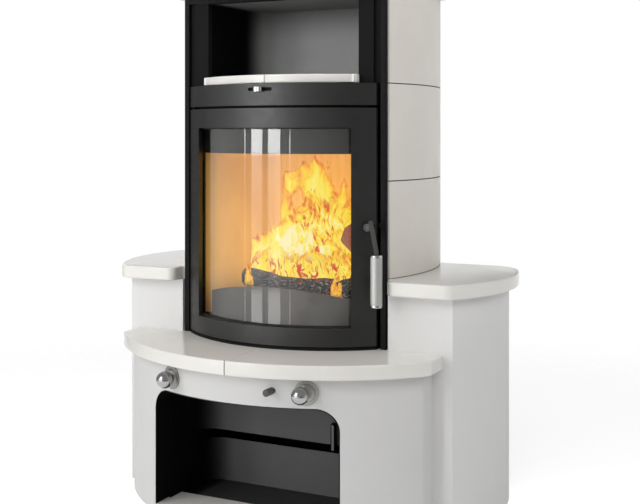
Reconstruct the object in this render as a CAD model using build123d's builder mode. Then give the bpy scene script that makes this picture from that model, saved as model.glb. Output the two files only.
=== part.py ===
"""Tiled stove with a curved glass door, a warming niche, side benches and a wood compartment.

Millimetres. X runs to the viewer's right, Y to the back and Z up. The origin is
on the floor under the middle of the outline. Every curved front piece is
concentric with one vertical axis, the bulge axis, at (0, BULGE_Y).
"""
import os
from math import asin, degrees, sqrt

from build123d import *

os.makedirs("parts", exist_ok=True)

# ---------------------------------------------------------------- driving dimensions
OVERALL_DEPTH = 620
FRONT_Y = -OVERALL_DEPTH / 2
BACK_Y = OVERALL_DEPTH / 2
STOVE_FRONT_Y = -52            # flat front plane of the steel frame and the bench bodies

# Plan radii about the bulge axis
BULGE_Y = 212
HEARTH_R = BULGE_Y - FRONT_Y   # front edge of the hearth slab
APRON_R = 497                  # front face of the apron
APRON_WALL = 40
DOOR_R = 366                   # front face of the door and the control panel
DOOR_PLATE = 12                # thickness of the door's edge plate
DOOR_DEPTH = 22                # thickness of the door's inner rim
NICHE_PLATE_R = 344
MOUTH_R = 340                  # front face of the firebox
GUARD_R = 323                  # front face of the log guard

# Half widths
FRAME_HALF = 269
FRAME_STRIP = 14
DOOR_HALF = 248
RIM_HALF = 232
GLASS_OPENING_HALF = 201.5
FIREBOX_HALF = 226
MOUTH_HALF = 205
NICHE_HALF = 201
HEARTH_HALF = 402
APRON_HALF = 380
BIN_OPENING_HALF = 235.5
BIN_HALF = 228
TILE_INNER_X = 262
TILE_EDGE_X = 274
TILE_CROWN_X = 304
BENCH_ARC_X, BENCH_ARC_Y = 151, 138
BENCH_BODY_R = 335
BENCH_SLAB_R = 359

# Levels
FOOT_H = 14
BIN_FLOOR_Z = 18
BIN_CEILING_Z = 304
BIN_OPENING_Z = 289.5
BASE_SLAB_BACK_Y = -130
PULL_Z = 323                   # air pulls in the apron
HEARTH_Z = 386                 # top of the hearth slab
SLAB = 32                      # thickness of every slab
SILL = 6
DOOR_Z0, DOOR_Z1 = 394, 933
GLASS_Z0, GLASS_Z1 = 436, 888
FIREBOX_Z0, FIREBOX_Z1 = 400, 939
LINTEL_Z = 828                 # lower edge of the dark lintel seen behind the glass
PANEL_Z0, PANEL_Z1 = 939, 989
NICHE_FLOOR = 1.5
NICHE_PLATE = 20
BENCH_Z = 545                  # top of the bench slabs
TILE_H = 222
TILE_ROWS = 3
TILE_TOP_Z = BENCH_Z + TILE_ROWS * TILE_H
OVERALL_HEIGHT = TILE_TOP_Z + SLAB
TOP_RAIL = 18

# Sheet and board thicknesses
BENCH_WALL = 40
FIREBOX_WALL = 5
SHEET = 2
CASING = 1.5
FRAME_SHEET = 3
PANEL_SHEET = 3
LINING = 30

# Door hardware
HINGE_X, HINGE_Y = -240, -50
HINGE_PIN_R = 4
HINGE_FIT = 0.08               # radial play of the door on its pins
HANDLE_X, HANDLE_Z = 238, 664
SPINDLE_R = 6
SPINDLE_FIT = 0.08
HUB_R, HUB_FRONT_Y = 8.5, -88
GRIP_X, GRIP_Y = 268, -105
GRIP_Z0, GRIP_Z1 = 489, 606
GRIP_R = 13.35
FERRULE = 6

# Controls
SLOT_HALF, SLOT_Z0, SLOT_Z1 = 31, 972, 980
PULL_X = 170
PULL_ROD_R = 5
BALL_R = 19
ROSETTE_R = 27
RIDDLE_X, RIDDLE_Z = 98, 325
RIDDLE_ROD_R = 4

# Flue and air spigots, both at the back
FLUE_R, FLUE_WALL, FLUE_Z = 74.5, 3.5, 1085
INLET_R, INLET_WALL, INLET_Z = 39.5, 2.5, 352
REAR_PANEL_Y = 262
TILE_BACK_Y = 300
AIR_BOX_BACK_Y = 240
CARCASS_FRONT_Y = -176


# ---------------------------------------------------------------- helpers
def arc_y(radius, x):
    """Y of a bulge arc at a given X."""
    return BULGE_Y - sqrt(radius ** 2 - x ** 2)


def save(part, name):
    """Label a finished piece and write it as one STEP file."""
    part.label = name
    export_step(part, f"parts/{name}.step")
    return part


def mirrored(part):
    """The same piece for the other side of the stove, solid by solid."""
    twins = [solid.mirror(Plane.YZ) for solid in part.solids()]
    return twins[0] if len(twins) == 1 else Compound(children=twins)


def bulge_disc(radius, half_width, y_back):
    """In a sketch: the front of a disc about the bulge axis, cut at two sides and a back line."""
    with Locations((0, BULGE_Y)):
        Circle(radius)
    with Locations((0, y_back - radius)):
        Rectangle(2 * half_width, 2 * radius, mode=Mode.INTERSECT)


def bulge_band(r_outer, r_inner, half_width, z_low, z_high):
    """A curved strip between two bulge arcs."""
    with BuildPart() as band:
        with BuildSketch(Plane.XY.offset(z_low)):
            bulge_disc(r_outer, half_width, BULGE_Y - sqrt(r_inner ** 2 - half_width ** 2))
            with Locations((0, BULGE_Y)):
                Circle(r_inner, mode=Mode.SUBTRACT)
        extrude(amount=z_high - z_low)
    return band.part


def front_cut(half_width, z_low, z_high, y_from, y_to, corner=0):
    """In a part: cut a rectangular window with rounded corners along Y."""
    with BuildSketch(Plane.XZ.offset(-y_to)) as window:
        with Locations((0, (z_low + z_high) / 2)):
            if corner:
                RectangleRounded(2 * half_width, z_high - z_low, corner)
            else:
                Rectangle(2 * half_width, z_high - z_low)
    extrude(window.sketch, amount=y_to - y_from, mode=Mode.SUBTRACT)


def block(x0, x1, y0, y1, z0, z1, mode=Mode.ADD):
    """In a part: a plain block given by its limits."""
    with Locations(((x0 + x1) / 2, (y0 + y1) / 2, (z0 + z1) / 2)):
        Box(x1 - x0, y1 - y0, z1 - z0, mode=mode)


def rod_along_y(x, z, radius, y0, y1, mode=Mode.ADD):
    """In a part: a round bar or bore parallel to Y."""
    with Locations(Location((x, (y0 + y1) / 2, z), (90, 0, 0))):
        Cylinder(radius, y1 - y0, mode=mode)


def group(*parts):
    """Several touching pieces of one node, kept as separate solids."""
    return Compound(children=list(parts))


def hand_both(part, name):
    """Write a right-hand piece and its left-hand twin."""
    save(part, f"{name}_right")
    save(mirrored(part), f"{name}_left")


# ---------------------------------------------------------------- masonry
def bench_body():
    """Right bench body: a cast shell with a flat front, a round side and a back wall."""
    with BuildPart() as body:
        with BuildSketch():
            with Locations((BENCH_ARC_X, BENCH_ARC_Y)):
                Circle(BENCH_BODY_R)
            block_width = 300
            y_back = TILE_BACK_Y - SHEET
            with Locations((TILE_EDGE_X + block_width / 2, (STOVE_FRONT_Y + y_back) / 2)):
                Rectangle(block_width, y_back - STOVE_FRONT_Y, mode=Mode.INTERSECT)
        extrude(amount=BENCH_Z - SLAB)
        with BuildSketch() as cavity:
            with Locations((BENCH_ARC_X, BENCH_ARC_Y)):
                Circle(BENCH_BODY_R - BENCH_WALL)
            with Locations((TILE_EDGE_X + block_width / 2, (STOVE_FRONT_Y + y_back) / 2)):
                Rectangle(block_width, y_back - STOVE_FRONT_Y - 2 * BENCH_WALL, mode=Mode.INTERSECT)
        extrude(cavity.sketch, amount=BENCH_Z - SLAB, mode=Mode.SUBTRACT)
    return body.part


def bench_slab():
    """Right bench slab, rounded at every outer corner and along its edges."""
    slab_front = STOVE_FRONT_Y - 36
    slab_end_x = 281
    notch_y = -40
    with BuildPart() as slab:
        with BuildSketch(Plane.XY.offset(BENCH_Z - SLAB)):
            with Locations((BENCH_ARC_X, BENCH_ARC_Y)):
                Circle(BENCH_SLAB_R)
            with Locations((TILE_INNER_X + 150, (slab_front + BACK_Y) / 2)):
                Rectangle(300, BACK_Y - slab_front, mode=Mode.INTERSECT)
            fillet(vertices().group_by(Axis.Y)[0].sort_by(Axis.X)[-1], 33)
            fillet(vertices().group_by(Axis.Y)[-1].sort_by(Axis.X)[-1], 85)
            with Locations(((TILE_INNER_X + slab_end_x) / 2, (slab_front + notch_y) / 2)):
                Rectangle(slab_end_x - TILE_INNER_X, notch_y - slab_front, mode=Mode.SUBTRACT)
            front_end = vertices().group_by(Axis.Y)[0].sort_by(Axis.X)[0]
            fillet(front_end, 18)
        extrude(amount=SLAB)
        outer = edges().filter_by(Plane.XY).filter_by(lambda e: e.center().X > slab_end_x - 1)
        fillet(outer, 4)
    return slab.part


def hearth_slab():
    """Right half of the hearth slab, with a tongue that carries the steel frame."""
    seam = 1.5
    tongue_y = -38
    bite_r = 330
    with BuildPart() as slab:
        with BuildSketch(Plane.XY.offset(HEARTH_Z - SLAB)):
            bulge_disc(HEARTH_R, HEARTH_HALF, STOVE_FRONT_Y)
            tips = vertices().group_by(Axis.Y)[-2]
            fillet(tips, 20)
            with Locations((0, (tongue_y + STOVE_FRONT_Y) / 2)):
                Rectangle(2 * TILE_EDGE_X, tongue_y - STOVE_FRONT_Y)
            with Locations((0, BULGE_Y)):
                Circle(bite_r, mode=Mode.SUBTRACT)
            with Locations((seam - 300, 0)):
                Rectangle(600, 2 * OVERALL_DEPTH, mode=Mode.SUBTRACT)
        extrude(amount=SLAB)
        rim = edges().filter_by(Plane.XY).filter_by(lambda e: e.center().Y < STOVE_FRONT_Y - 2
                                                    and e.center().X > 2
                                                    and (e.center().X ** 2
                                                         + (e.center().Y - BULGE_Y) ** 2) > 420 ** 2)
        fillet(rim, 3)
    return slab.part


def apron():
    """Curved facing below the hearth slab, with the arched mouth of the wood compartment."""
    height = HEARTH_Z - SLAB
    inner_half = APRON_HALF - APRON_WALL
    with BuildPart() as front:
        with BuildSketch():
            bulge_disc(APRON_R, APRON_HALF, STOVE_FRONT_Y)
            fillet(vertices().group_by(Axis.Y)[0], 12)
        extrude(amount=height)
        with BuildSketch() as hollow:
            bulge_disc(APRON_R - APRON_WALL, inner_half, STOVE_FRONT_Y)
        extrude(hollow.sketch, amount=height, mode=Mode.SUBTRACT)
        with BuildSketch(Plane.XZ) as mouth:
            with Locations((0, 0)):
                RectangleRounded(2 * BIN_OPENING_HALF, 2 * BIN_OPENING_Z, 50)
        extrude(mouth.sketch, amount=OVERALL_DEPTH, mode=Mode.SUBTRACT)
        for x in (-PULL_X, PULL_X):
            rod_along_y(x, PULL_Z, 8, FRONT_Y, STOVE_FRONT_Y, Mode.SUBTRACT)
        rod_along_y(RIDDLE_X, RIDDLE_Z, 7, FRONT_Y, STOVE_FRONT_Y, Mode.SUBTRACT)
    return front.part


def base_outline(gap):
    """In a sketch: the base slab's outline with its two back corners cut, less a gap all round."""
    bulge_disc(APRON_R - 2, BIN_OPENING_HALF - gap, BASE_SLAB_BACK_Y - gap)
    chamfer(vertices().group_by(Axis.Y)[-1], 8)


def base_slab():
    """Pale floor of the wood compartment, between the apron's legs."""
    with BuildPart() as slab:
        with BuildSketch():
            base_outline(0.5)
        extrude(amount=BIN_FLOOR_Z)
    return slab.part


def tile(row):
    """Right tile of one row: flat behind, gently crowned outside, with softened edges."""
    z_low = BENCH_Z + row * TILE_H
    front_y = -40
    with BuildPart() as piece:
        with BuildSketch(Plane.XY.offset(z_low)):
            with BuildLine():
                crown = ThreePointArc((TILE_EDGE_X, front_y),
                                      (TILE_CROWN_X, (front_y + TILE_BACK_Y) / 2),
                                      (TILE_EDGE_X, TILE_BACK_Y))
                Polyline(crown @ 1, (TILE_INNER_X, TILE_BACK_Y), (TILE_INNER_X, front_y), crown @ 0)
            make_face()
        extrude(amount=TILE_H)
        face = faces().sort_by(Axis.X)[-1]
        fillet(face.edges(), 2.5)
    return piece.part


def top_slab():
    """Cover slab: bulged in front like the control panel, bowed sides, rounded back corners."""
    overhang = 20
    bulge_r = DOOR_R + 10
    side_x, crown_x = TILE_EDGE_X + overhang, TILE_CROWN_X + overhang + 4
    slab_front = STOVE_FRONT_Y - overhang
    with BuildPart() as slab:
        with BuildSketch(Plane.XY.offset(TILE_TOP_Z)):
            with BuildLine():
                right = ThreePointArc((side_x, slab_front), (crown_x, BENCH_ARC_Y), (side_x, BACK_Y))
                left = ThreePointArc((-side_x, BACK_Y), (-crown_x, BENCH_ARC_Y), (-side_x, slab_front))
                Line(right @ 1, left @ 0)
                Line(left @ 1, right @ 0)
            make_face()
            fillet(vertices().group_by(Axis.Y)[-1], 60)
            fillet(vertices().group_by(Axis.Y)[0], 30)
            bulge_disc_half = sqrt(bulge_r ** 2 - (BULGE_Y - slab_front) ** 2)
            with BuildLine():
                bow = ThreePointArc((-bulge_disc_half, slab_front), (0, BULGE_Y - bulge_r),
                                    (bulge_disc_half, slab_front))
                Line(bow @ 1, bow @ 0)
            make_face()
            inner = vertices().filter_by(lambda v: abs(abs(v.X) - bulge_disc_half) < 1)
            fillet(inner, 40)
        extrude(amount=SLAB)
        fillet(edges().filter_by(Plane.XY), 7)
    return slab.part


# ---------------------------------------------------------------- steel front
def front_frame():
    """Folded steel surround: two side strips and a top rail, with returns behind."""
    depth = 11
    outer_height = TILE_TOP_Z - HEARTH_Z
    with BuildPart() as frame:
        with BuildSketch(Plane.XZ.offset(-(STOVE_FRONT_Y + depth))) as outline:
            with Locations((0, HEARTH_Z + outer_height / 2)):
                Rectangle(2 * FRAME_HALF, outer_height)
            with Locations((0, (HEARTH_Z + TILE_TOP_Z - TOP_RAIL) / 2)):
                Rectangle(2 * (FRAME_HALF - FRAME_STRIP), outer_height - TOP_RAIL, mode=Mode.SUBTRACT)
        extrude(amount=depth)
        front = faces().sort_by(Axis.Y)[0]
        fillet(front.edges().filter_by(Axis.Z), 2)
        with BuildSketch(Plane.XZ.offset(-(STOVE_FRONT_Y + depth))) as channel:
            offset(outline.sketch, amount=-FRAME_SHEET)
        extrude(channel.sketch, amount=depth - FRAME_SHEET, mode=Mode.SUBTRACT)
    return frame.part


def base_trim():
    """Curved sill plate on the hearth slab, with the lower hinge hole."""
    with BuildPart() as trim:
        add(bulge_band(DOOR_R, 335, DOOR_HALF, HEARTH_Z, HEARTH_Z + SILL))
        with Locations((HINGE_X, HINGE_Y, HEARTH_Z + SILL / 2)):
            Cylinder(HINGE_PIN_R, SILL, mode=Mode.SUBTRACT)
    return trim.part


def control_panel():
    """Curved fascia above the door: a folded box with the slider slot and its shelf."""
    inner_r = 343
    with BuildPart() as panel:
        add(bulge_band(DOOR_R, inner_r, DOOR_HALF, PANEL_Z0, PANEL_Z1))
        outer_edges = edges().filter_by(Axis.Z).group_by(Axis.Y)[0]
        fillet(outer_edges, 2)
        add(bulge_band(DOOR_R - PANEL_SHEET, inner_r - 12, DOOR_HALF - PANEL_SHEET,
                       PANEL_Z0 + PANEL_SHEET, PANEL_Z1 - PANEL_SHEET), mode=Mode.SUBTRACT)
        add(bulge_band(DOOR_R - PANEL_SHEET, 355, 110, 961, 964.4))
        front_cut(SLOT_HALF, SLOT_Z0, SLOT_Z1, FRONT_Y, -130, 3.9)
        with Locations((HINGE_X, HINGE_Y, PANEL_Z0 + PANEL_SHEET / 2)):
            Cylinder(HINGE_PIN_R, PANEL_SHEET, mode=Mode.SUBTRACT)
    return panel.part


def niche_liner():
    """Warming niche: bent sheet walls with round back corners, floor, ceiling and front jambs."""
    z_floor = PANEL_Z1
    z_top = TILE_TOP_Z - TOP_RAIL
    back_y, corner = 188, 85
    front_y = STOVE_FRONT_Y + 2
    frame_inner = FRAME_HALF - FRAME_STRIP
    with BuildPart() as liner:
        with BuildSketch(Plane.XY.offset(z_floor)) as outer:
            with Locations((0, (front_y + back_y + CASING) / 2)):
                Rectangle(2 * (NICHE_HALF + CASING), back_y + CASING - front_y)
            fillet(vertices().group_by(Axis.Y)[-1], corner + CASING)
        extrude(amount=z_top - z_floor)
        with BuildSketch(Plane.XY.offset(z_floor + NICHE_FLOOR)) as inner:
            with Locations((0, (front_y + back_y) / 2 - 20)):
                Rectangle(2 * NICHE_HALF, back_y - front_y + 40)
            fillet(vertices().group_by(Axis.Y)[-1], corner)
        extrude(inner.sketch, amount=z_top - z_floor - NICHE_FLOOR - CASING, mode=Mode.SUBTRACT)
        add(bulge_band(NICHE_PLATE_R - 1, 300, NICHE_HALF, z_floor, z_floor + NICHE_FLOOR))
        block(-NICHE_HALF, NICHE_HALF, -100, front_y + 1, z_floor, z_floor + NICHE_FLOOR)
        for side in (-1, 1):
            jamb_x = 238
            edges_x = sorted((side * (NICHE_HALF + CASING), side * jamb_x))
            block(*edges_x, front_y, front_y + CASING, z_floor, z_top)
            step_x = sorted((side * (jamb_x - CASING), side * jamb_x))
            block(*step_x, front_y, -41, z_floor, z_top)
            wing_x = sorted((side * jamb_x, side * frame_inner))
            block(*wing_x, -42.5, -41, z_floor, z_top)
    return liner.part


def niche_plate():
    """Right half of the pale plate on the niche floor, wider where it stands in front of the jambs."""
    front_half = 203.5
    inner_half = NICHE_HALF - 1.5
    z_low = PANEL_Z1 + NICHE_FLOOR
    seam = 1
    with BuildPart() as plate:
        with BuildSketch(Plane.XY.offset(z_low)):
            bulge_disc(NICHE_PLATE_R, front_half, STOVE_FRONT_Y - 0.5)
            fillet(vertices().group_by(Axis.Y)[-2], 5)
            with Locations((0, (187 + STOVE_FRONT_Y - 20) / 2)):
                rear = Rectangle(2 * inner_half, 187 - STOVE_FRONT_Y + 20)
            fillet(vertices().group_by(Axis.Y)[-1], 84)
            with Locations((seam - 300, 0)):
                Rectangle(600, 2 * OVERALL_DEPTH, mode=Mode.SUBTRACT)
        extrude(amount=NICHE_PLATE)
        lip = edges().filter_by(Plane.XY).filter_by(lambda e: e.center().Y < STOVE_FRONT_Y - 1
                                                    and e.center().X > seam + 1)
        fillet(lip, 3)
    return plate.part


def rear_panel():
    """Back sheet with convection slots, and holes for the flue and the air spigot."""
    half = FRAME_HALF - FRAME_STRIP
    with BuildPart() as panel:
        with BuildSketch(Plane.XZ.offset(-(REAR_PANEL_Y + SHEET))):
            with Locations((0, (FOOT_H + TILE_TOP_Z) / 2)):
                Rectangle(2 * half, TILE_TOP_Z - FOOT_H)
            with Locations((0, FLUE_Z)):
                Circle(92, mode=Mode.SUBTRACT)
            with Locations((0, INLET_Z)):
                Circle(INLET_R + 1, mode=Mode.SUBTRACT)
            with Locations((-160, 1150), (160, 1150), (-160, 460), (160, 460)):
                with GridLocations(30, 0, 5, 1):
                    SlotOverall(70, 10, rotation=90, mode=Mode.SUBTRACT)
        extrude(amount=SHEET)
    return panel.part


def side_casings():
    """Two inner side sheets between the tiles and the firebox."""
    with BuildPart() as casings:
        inner = FRAME_HALF - FRAME_STRIP
        for side in (-1, 1):
            limits = sorted((side * inner, side * (inner + CASING)))
            block(*limits, -30, REAR_PANEL_Y + SHEET, BIN_CEILING_Z, TILE_TOP_Z)
    return casings.part


# ---------------------------------------------------------------- firebox
def firebox_shell():
    """Welded firebox: curved front with the mouth, ash hole below, smoke hole above."""
    height = FIREBOX_Z1 - FIREBOX_Z0
    back = 255
    with BuildPart() as shell:
        with BuildSketch(Plane.XY.offset(FIREBOX_Z0)):
            bulge_disc(MOUTH_R, FIREBOX_HALF, back)
        extrude(amount=height)
        with BuildSketch(Plane.XY.offset(FIREBOX_Z0 + FIREBOX_WALL)) as cavity:
            bulge_disc(MOUTH_R - FIREBOX_WALL, FIREBOX_HALF - FIREBOX_WALL, back - FIREBOX_WALL)
        extrude(cavity.sketch, amount=height - 2 * FIREBOX_WALL, mode=Mode.SUBTRACT)
        front_cut(MOUTH_HALF, 432, LINTEL_Z, -150, 0)
        block(-100, 100, 28, 182, FIREBOX_Z0 - 1, FIREBOX_Z0 + FIREBOX_WALL + 1, Mode.SUBTRACT)
        block(-122, 122, 194.5, back - FIREBOX_WALL, FIREBOX_Z1 - FIREBOX_WALL - 1, FIREBOX_Z1 + 1,
              Mode.SUBTRACT)
        add(bulge_band(350, 336, FIREBOX_HALF, FIREBOX_Z1 - 4, FIREBOX_Z1))
    return shell.part


def lining_side():
    """Right fire brick board."""
    with BuildPart() as board:
        block(FIREBOX_HALF - FIREBOX_WALL - LINING, FIREBOX_HALF - FIREBOX_WALL, -30, 220, 435, 850)
        fillet(edges().filter_by(Axis.Z).group_by(Axis.Y)[0].sort_by(Axis.X)[0], 6)
    return board.part


def lining_rear():
    """Rear fire brick board with vertical flutes."""
    with BuildPart() as board:
        half = FIREBOX_HALF - FIREBOX_WALL
        block(-half, half, 220, 250, 435, 850)
        with Locations((0, 220, 642)):
            with GridLocations(24, 1, 15, 1):
                Box(8, 8, 380, mode=Mode.SUBTRACT)
    return board.part


def lining_floor():
    """Fire brick floor around the grate."""
    with BuildPart() as board:
        with BuildSketch(Plane.XY.offset(FIREBOX_Z0 + FIREBOX_WALL)):
            bulge_disc(MOUTH_R - FIREBOX_WALL - 1, FIREBOX_HALF - FIREBOX_WALL, 250)
            with Locations((0, 105)):
                Rectangle(222, 172, mode=Mode.SUBTRACT)
        extrude(amount=LINING)
    return board.part


def baffle_plate():
    """Board that turns the smoke round the front before the outlet."""
    with BuildPart() as board:
        half = FIREBOX_HALF - FIREBOX_WALL
        block(-half, half, 10, 190, 850, 875)
        fillet(edges().filter_by(Axis.X).group_by(Axis.Y)[0], 8)
    return board.part


def smoke_duct():
    """Flat sheet duct behind the niche, from the firebox roof to the flue spigot."""
    y0, y1 = 191.5, 256.5
    z1 = 1190
    with BuildPart() as duct:
        block(-125, 125, y0, y1, FIREBOX_Z1, z1)
        block(-122, 122, y0 + 3, y1 - 3, FIREBOX_Z1, z1 - 3, Mode.SUBTRACT)
        rod_along_y(0, FLUE_Z, FLUE_R - FLUE_WALL, y1 - 4, y1 + 1, Mode.SUBTRACT)
    return duct.part


def spigot(radius, wall, z, y_seat, flange_r, flange_t):
    """Round pipe stub at the back with a mounting flange."""
    with BuildPart() as stub:
        rod_along_y(0, z, radius, y_seat, BACK_Y)
        rod_along_y(0, z, flange_r, y_seat, y_seat + flange_t)
        rod_along_y(0, z, radius - wall, y_seat, BACK_Y, Mode.SUBTRACT)
        mouth = edges().filter_by(GeomType.CIRCLE).group_by(Axis.Y)[-1].sort_by(SortBy.RADIUS)[-1]
        chamfer(mouth, 1)
    return stub.part


def air_box():
    """Open-topped box under the firebox that holds the ash pan and the air valves."""
    with BuildPart() as box:
        block(-200, 200, -20, AIR_BOX_BACK_Y, BIN_CEILING_Z, FIREBOX_Z0)
        block(-197, 197, -17, AIR_BOX_BACK_Y - 3, BIN_CEILING_Z + 3, FIREBOX_Z0, Mode.SUBTRACT)
        for x in (-PULL_X, PULL_X):
            rod_along_y(x, PULL_Z + 3, 11, -21, -16, Mode.SUBTRACT)
        rod_along_y(RIDDLE_X, RIDDLE_Z, RIDDLE_ROD_R + 0.6, -21, -16, Mode.SUBTRACT)
        rod_along_y(0, INLET_Z, INLET_R - INLET_WALL, AIR_BOX_BACK_Y - 4, AIR_BOX_BACK_Y + 1,
                    Mode.SUBTRACT)
    return box.part


def ash_pan():
    """Open tray with a folded front lip."""
    z0 = BIN_CEILING_Z + 3
    with BuildPart() as pan:
        block(-82, 82, 10, 190, z0, z0 + 76)
        block(-80.5, 80.5, 11.5, 188.5, z0 + 1.5, z0 + 76, Mode.SUBTRACT)
        block(-40, 40, -4, 10, z0 + 60, z0 + 62)
        block(-40, 40, -4, -2.5, z0 + 46, z0 + 62)
    return pan.part


def grate_frame():
    """Fixed cast grate: a deep rim and a slotted top."""
    with BuildPart() as grate:
        block(-110, 110, 20, 190, FIREBOX_Z0 + FIREBOX_WALL, 435)
        block(-102, 102, 28, 182, FIREBOX_Z0 + FIREBOX_WALL, 427, Mode.SUBTRACT)
        with Locations((0, 105, 431)):
            with GridLocations(24, 1, 8, 1):
                Box(10, 136, 12, mode=Mode.SUBTRACT)
        chamfer(edges().filter_by(Axis.Z).group_by(Axis.Y)[0], 5)
    return grate.part


def log_guard():
    """Curved guard behind the glass with an arched top edge."""
    half = 190
    z0, z_end, z_crown = 435, 492, 518
    with BuildPart() as guard:
        add(bulge_band(GUARD_R, GUARD_R - 4, half, z0, z_crown + 2))
        with BuildSketch(Plane.XZ) as profile:
            with BuildLine():
                top = ThreePointArc((-half, z_end), (0, z_crown), (half, z_end))
                Polyline(top @ 1, (half, z0), (-half, z0), top @ 0)
            make_face()
        extrude(profile.sketch, amount=OVERALL_DEPTH, mode=Mode.INTERSECT)
    return guard.part


def log(start, end, radius, split_turn):
    """One log from end to end, with a flat split face and softened ends."""
    axis = Vector(*end) - Vector(*start)
    with BuildPart() as piece:
        with BuildSketch(Plane(origin=start, z_dir=axis)):
            Circle(radius)
            with Locations(Location((0, 0), split_turn)):
                with Locations((1.7 * radius, 0)):
                    Rectangle(2 * radius, 2 * radius, mode=Mode.SUBTRACT)
        extrude(amount=axis.length)
        ends = piece.edges().filter_by(lambda e: abs(e.tangent_at(0.5).dot(axis.normalized())) < 0.5)
        chamfer(ends, 3)
    return piece.part


def logs():
    """Split logs: one in front, resting on two cross logs, one behind and one at the right."""
    seat = 435
    return group(
        log((-140, 10, 523), (116, -5, 512), 27, 200),
        log((-160, 110, seat + 35), (115, 106, seat + 35), 35, 80),
        log((-95, -40, seat + 29), (-95, 60, seat + 29), 29, 0),
        log((100, -40, seat + 24.5), (100, 60, seat + 24.5), 24.5, 180),
        log((150, -35, 505), (158, 105, 505), 29, 150),
        log((127, 22, seat + 20), (184, 22, seat + 20), 20, 0))


# ---------------------------------------------------------------- wood compartment
def bin_sleeve():
    """Sheet sleeve that lines the apron's mouth up to its curved face."""
    fit, corner = 0.3, 50
    with BuildPart() as sleeve:
        with BuildSketch(Plane.XZ.offset(-CARCASS_FRONT_Y - SHEET)):
            for inset, mode in ((fit, Mode.ADD), (fit + SHEET, Mode.SUBTRACT)):
                RectangleRounded(2 * (BIN_OPENING_HALF - inset), 2 * (BIN_OPENING_Z - inset),
                                 corner - inset, mode=mode)
        extrude(amount=CARCASS_FRONT_Y + SHEET - FRONT_Y)
        with Locations((0, BULGE_Y, BIN_FLOOR_Z)):
            Cylinder(APRON_R - 0.5, BIN_OPENING_Z, mode=Mode.INTERSECT,
                     align=(Align.CENTER, Align.CENTER, Align.MIN))
    return sleeve.part


def bin_carcass():
    """Sheet box of the wood compartment, with front flanges that close it against the apron."""
    flange_x = 240
    with BuildPart() as box:
        block(-BIN_HALF, BIN_HALF, CARCASS_FRONT_Y, REAR_PANEL_Y, FOOT_H, BIN_CEILING_Z)
        block(-BIN_HALF + SHEET, BIN_HALF - SHEET, CARCASS_FRONT_Y - 1, REAR_PANEL_Y + 1,
              FOOT_H + SHEET, BIN_CEILING_Z - SHEET, Mode.SUBTRACT)
        for side in (-1, 1):
            limits = sorted((side * (BIN_HALF - SHEET), side * flange_x))
            block(*limits, CARCASS_FRONT_Y, CARCASS_FRONT_Y + SHEET, BIN_FLOOR_Z, BIN_CEILING_Z)
        add(bin_sleeve())
        with BuildSketch(Plane.XY.offset(FOOT_H)) as base:
            base_outline(0)
        extrude(base.sketch, amount=BIN_FLOOR_Z - FOOT_H, mode=Mode.SUBTRACT)
    return box.part


def bin_back_panel(y_front, z0, z1):
    """Back sheet whose round corners have one wall thickness all along."""
    half = BIN_HALF - SHEET
    with BuildPart() as sheet:
        with BuildSketch(Plane.XY.offset(z0)):
            with Locations((0, y_front + SHEET - 35)):
                Rectangle(2 * half, 70)
            fillet(vertices().group_by(Axis.Y)[-1], 50)
        extrude(amount=z1 - z0)
        with BuildSketch(Plane.XY.offset(z0)) as inside:
            with Locations((0, y_front - 45)):
                Rectangle(2 * (half - SHEET), 90)
            fillet(vertices().group_by(Axis.Y)[-1], 48)
        extrude(inside.sketch, amount=z1 - z0, mode=Mode.SUBTRACT)
    return sheet.part


def bin_peg():
    """Short round-headed upright rod on the upper back sheet."""
    with BuildPart() as peg:
        with Locations((134, -41.5, 141)):
            Cylinder(7.5, 63, align=(Align.CENTER, Align.CENTER, Align.MIN))
        fillet(edges().filter_by(GeomType.CIRCLE).sort_by(Axis.Z)[-1], 7)
    return peg.part


def levelling_feet():
    """Four screw feet under the compartment floor."""
    with BuildPart() as feet:
        with Locations((0, 55, 0)):
            with GridLocations(380, 300, 2, 2):
                Cylinder(20, 6, align=(Align.CENTER, Align.CENTER, Align.MIN))
                Cylinder(6, 14, align=(Align.CENTER, Align.CENTER, Align.MIN))
    return feet.part


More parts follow.
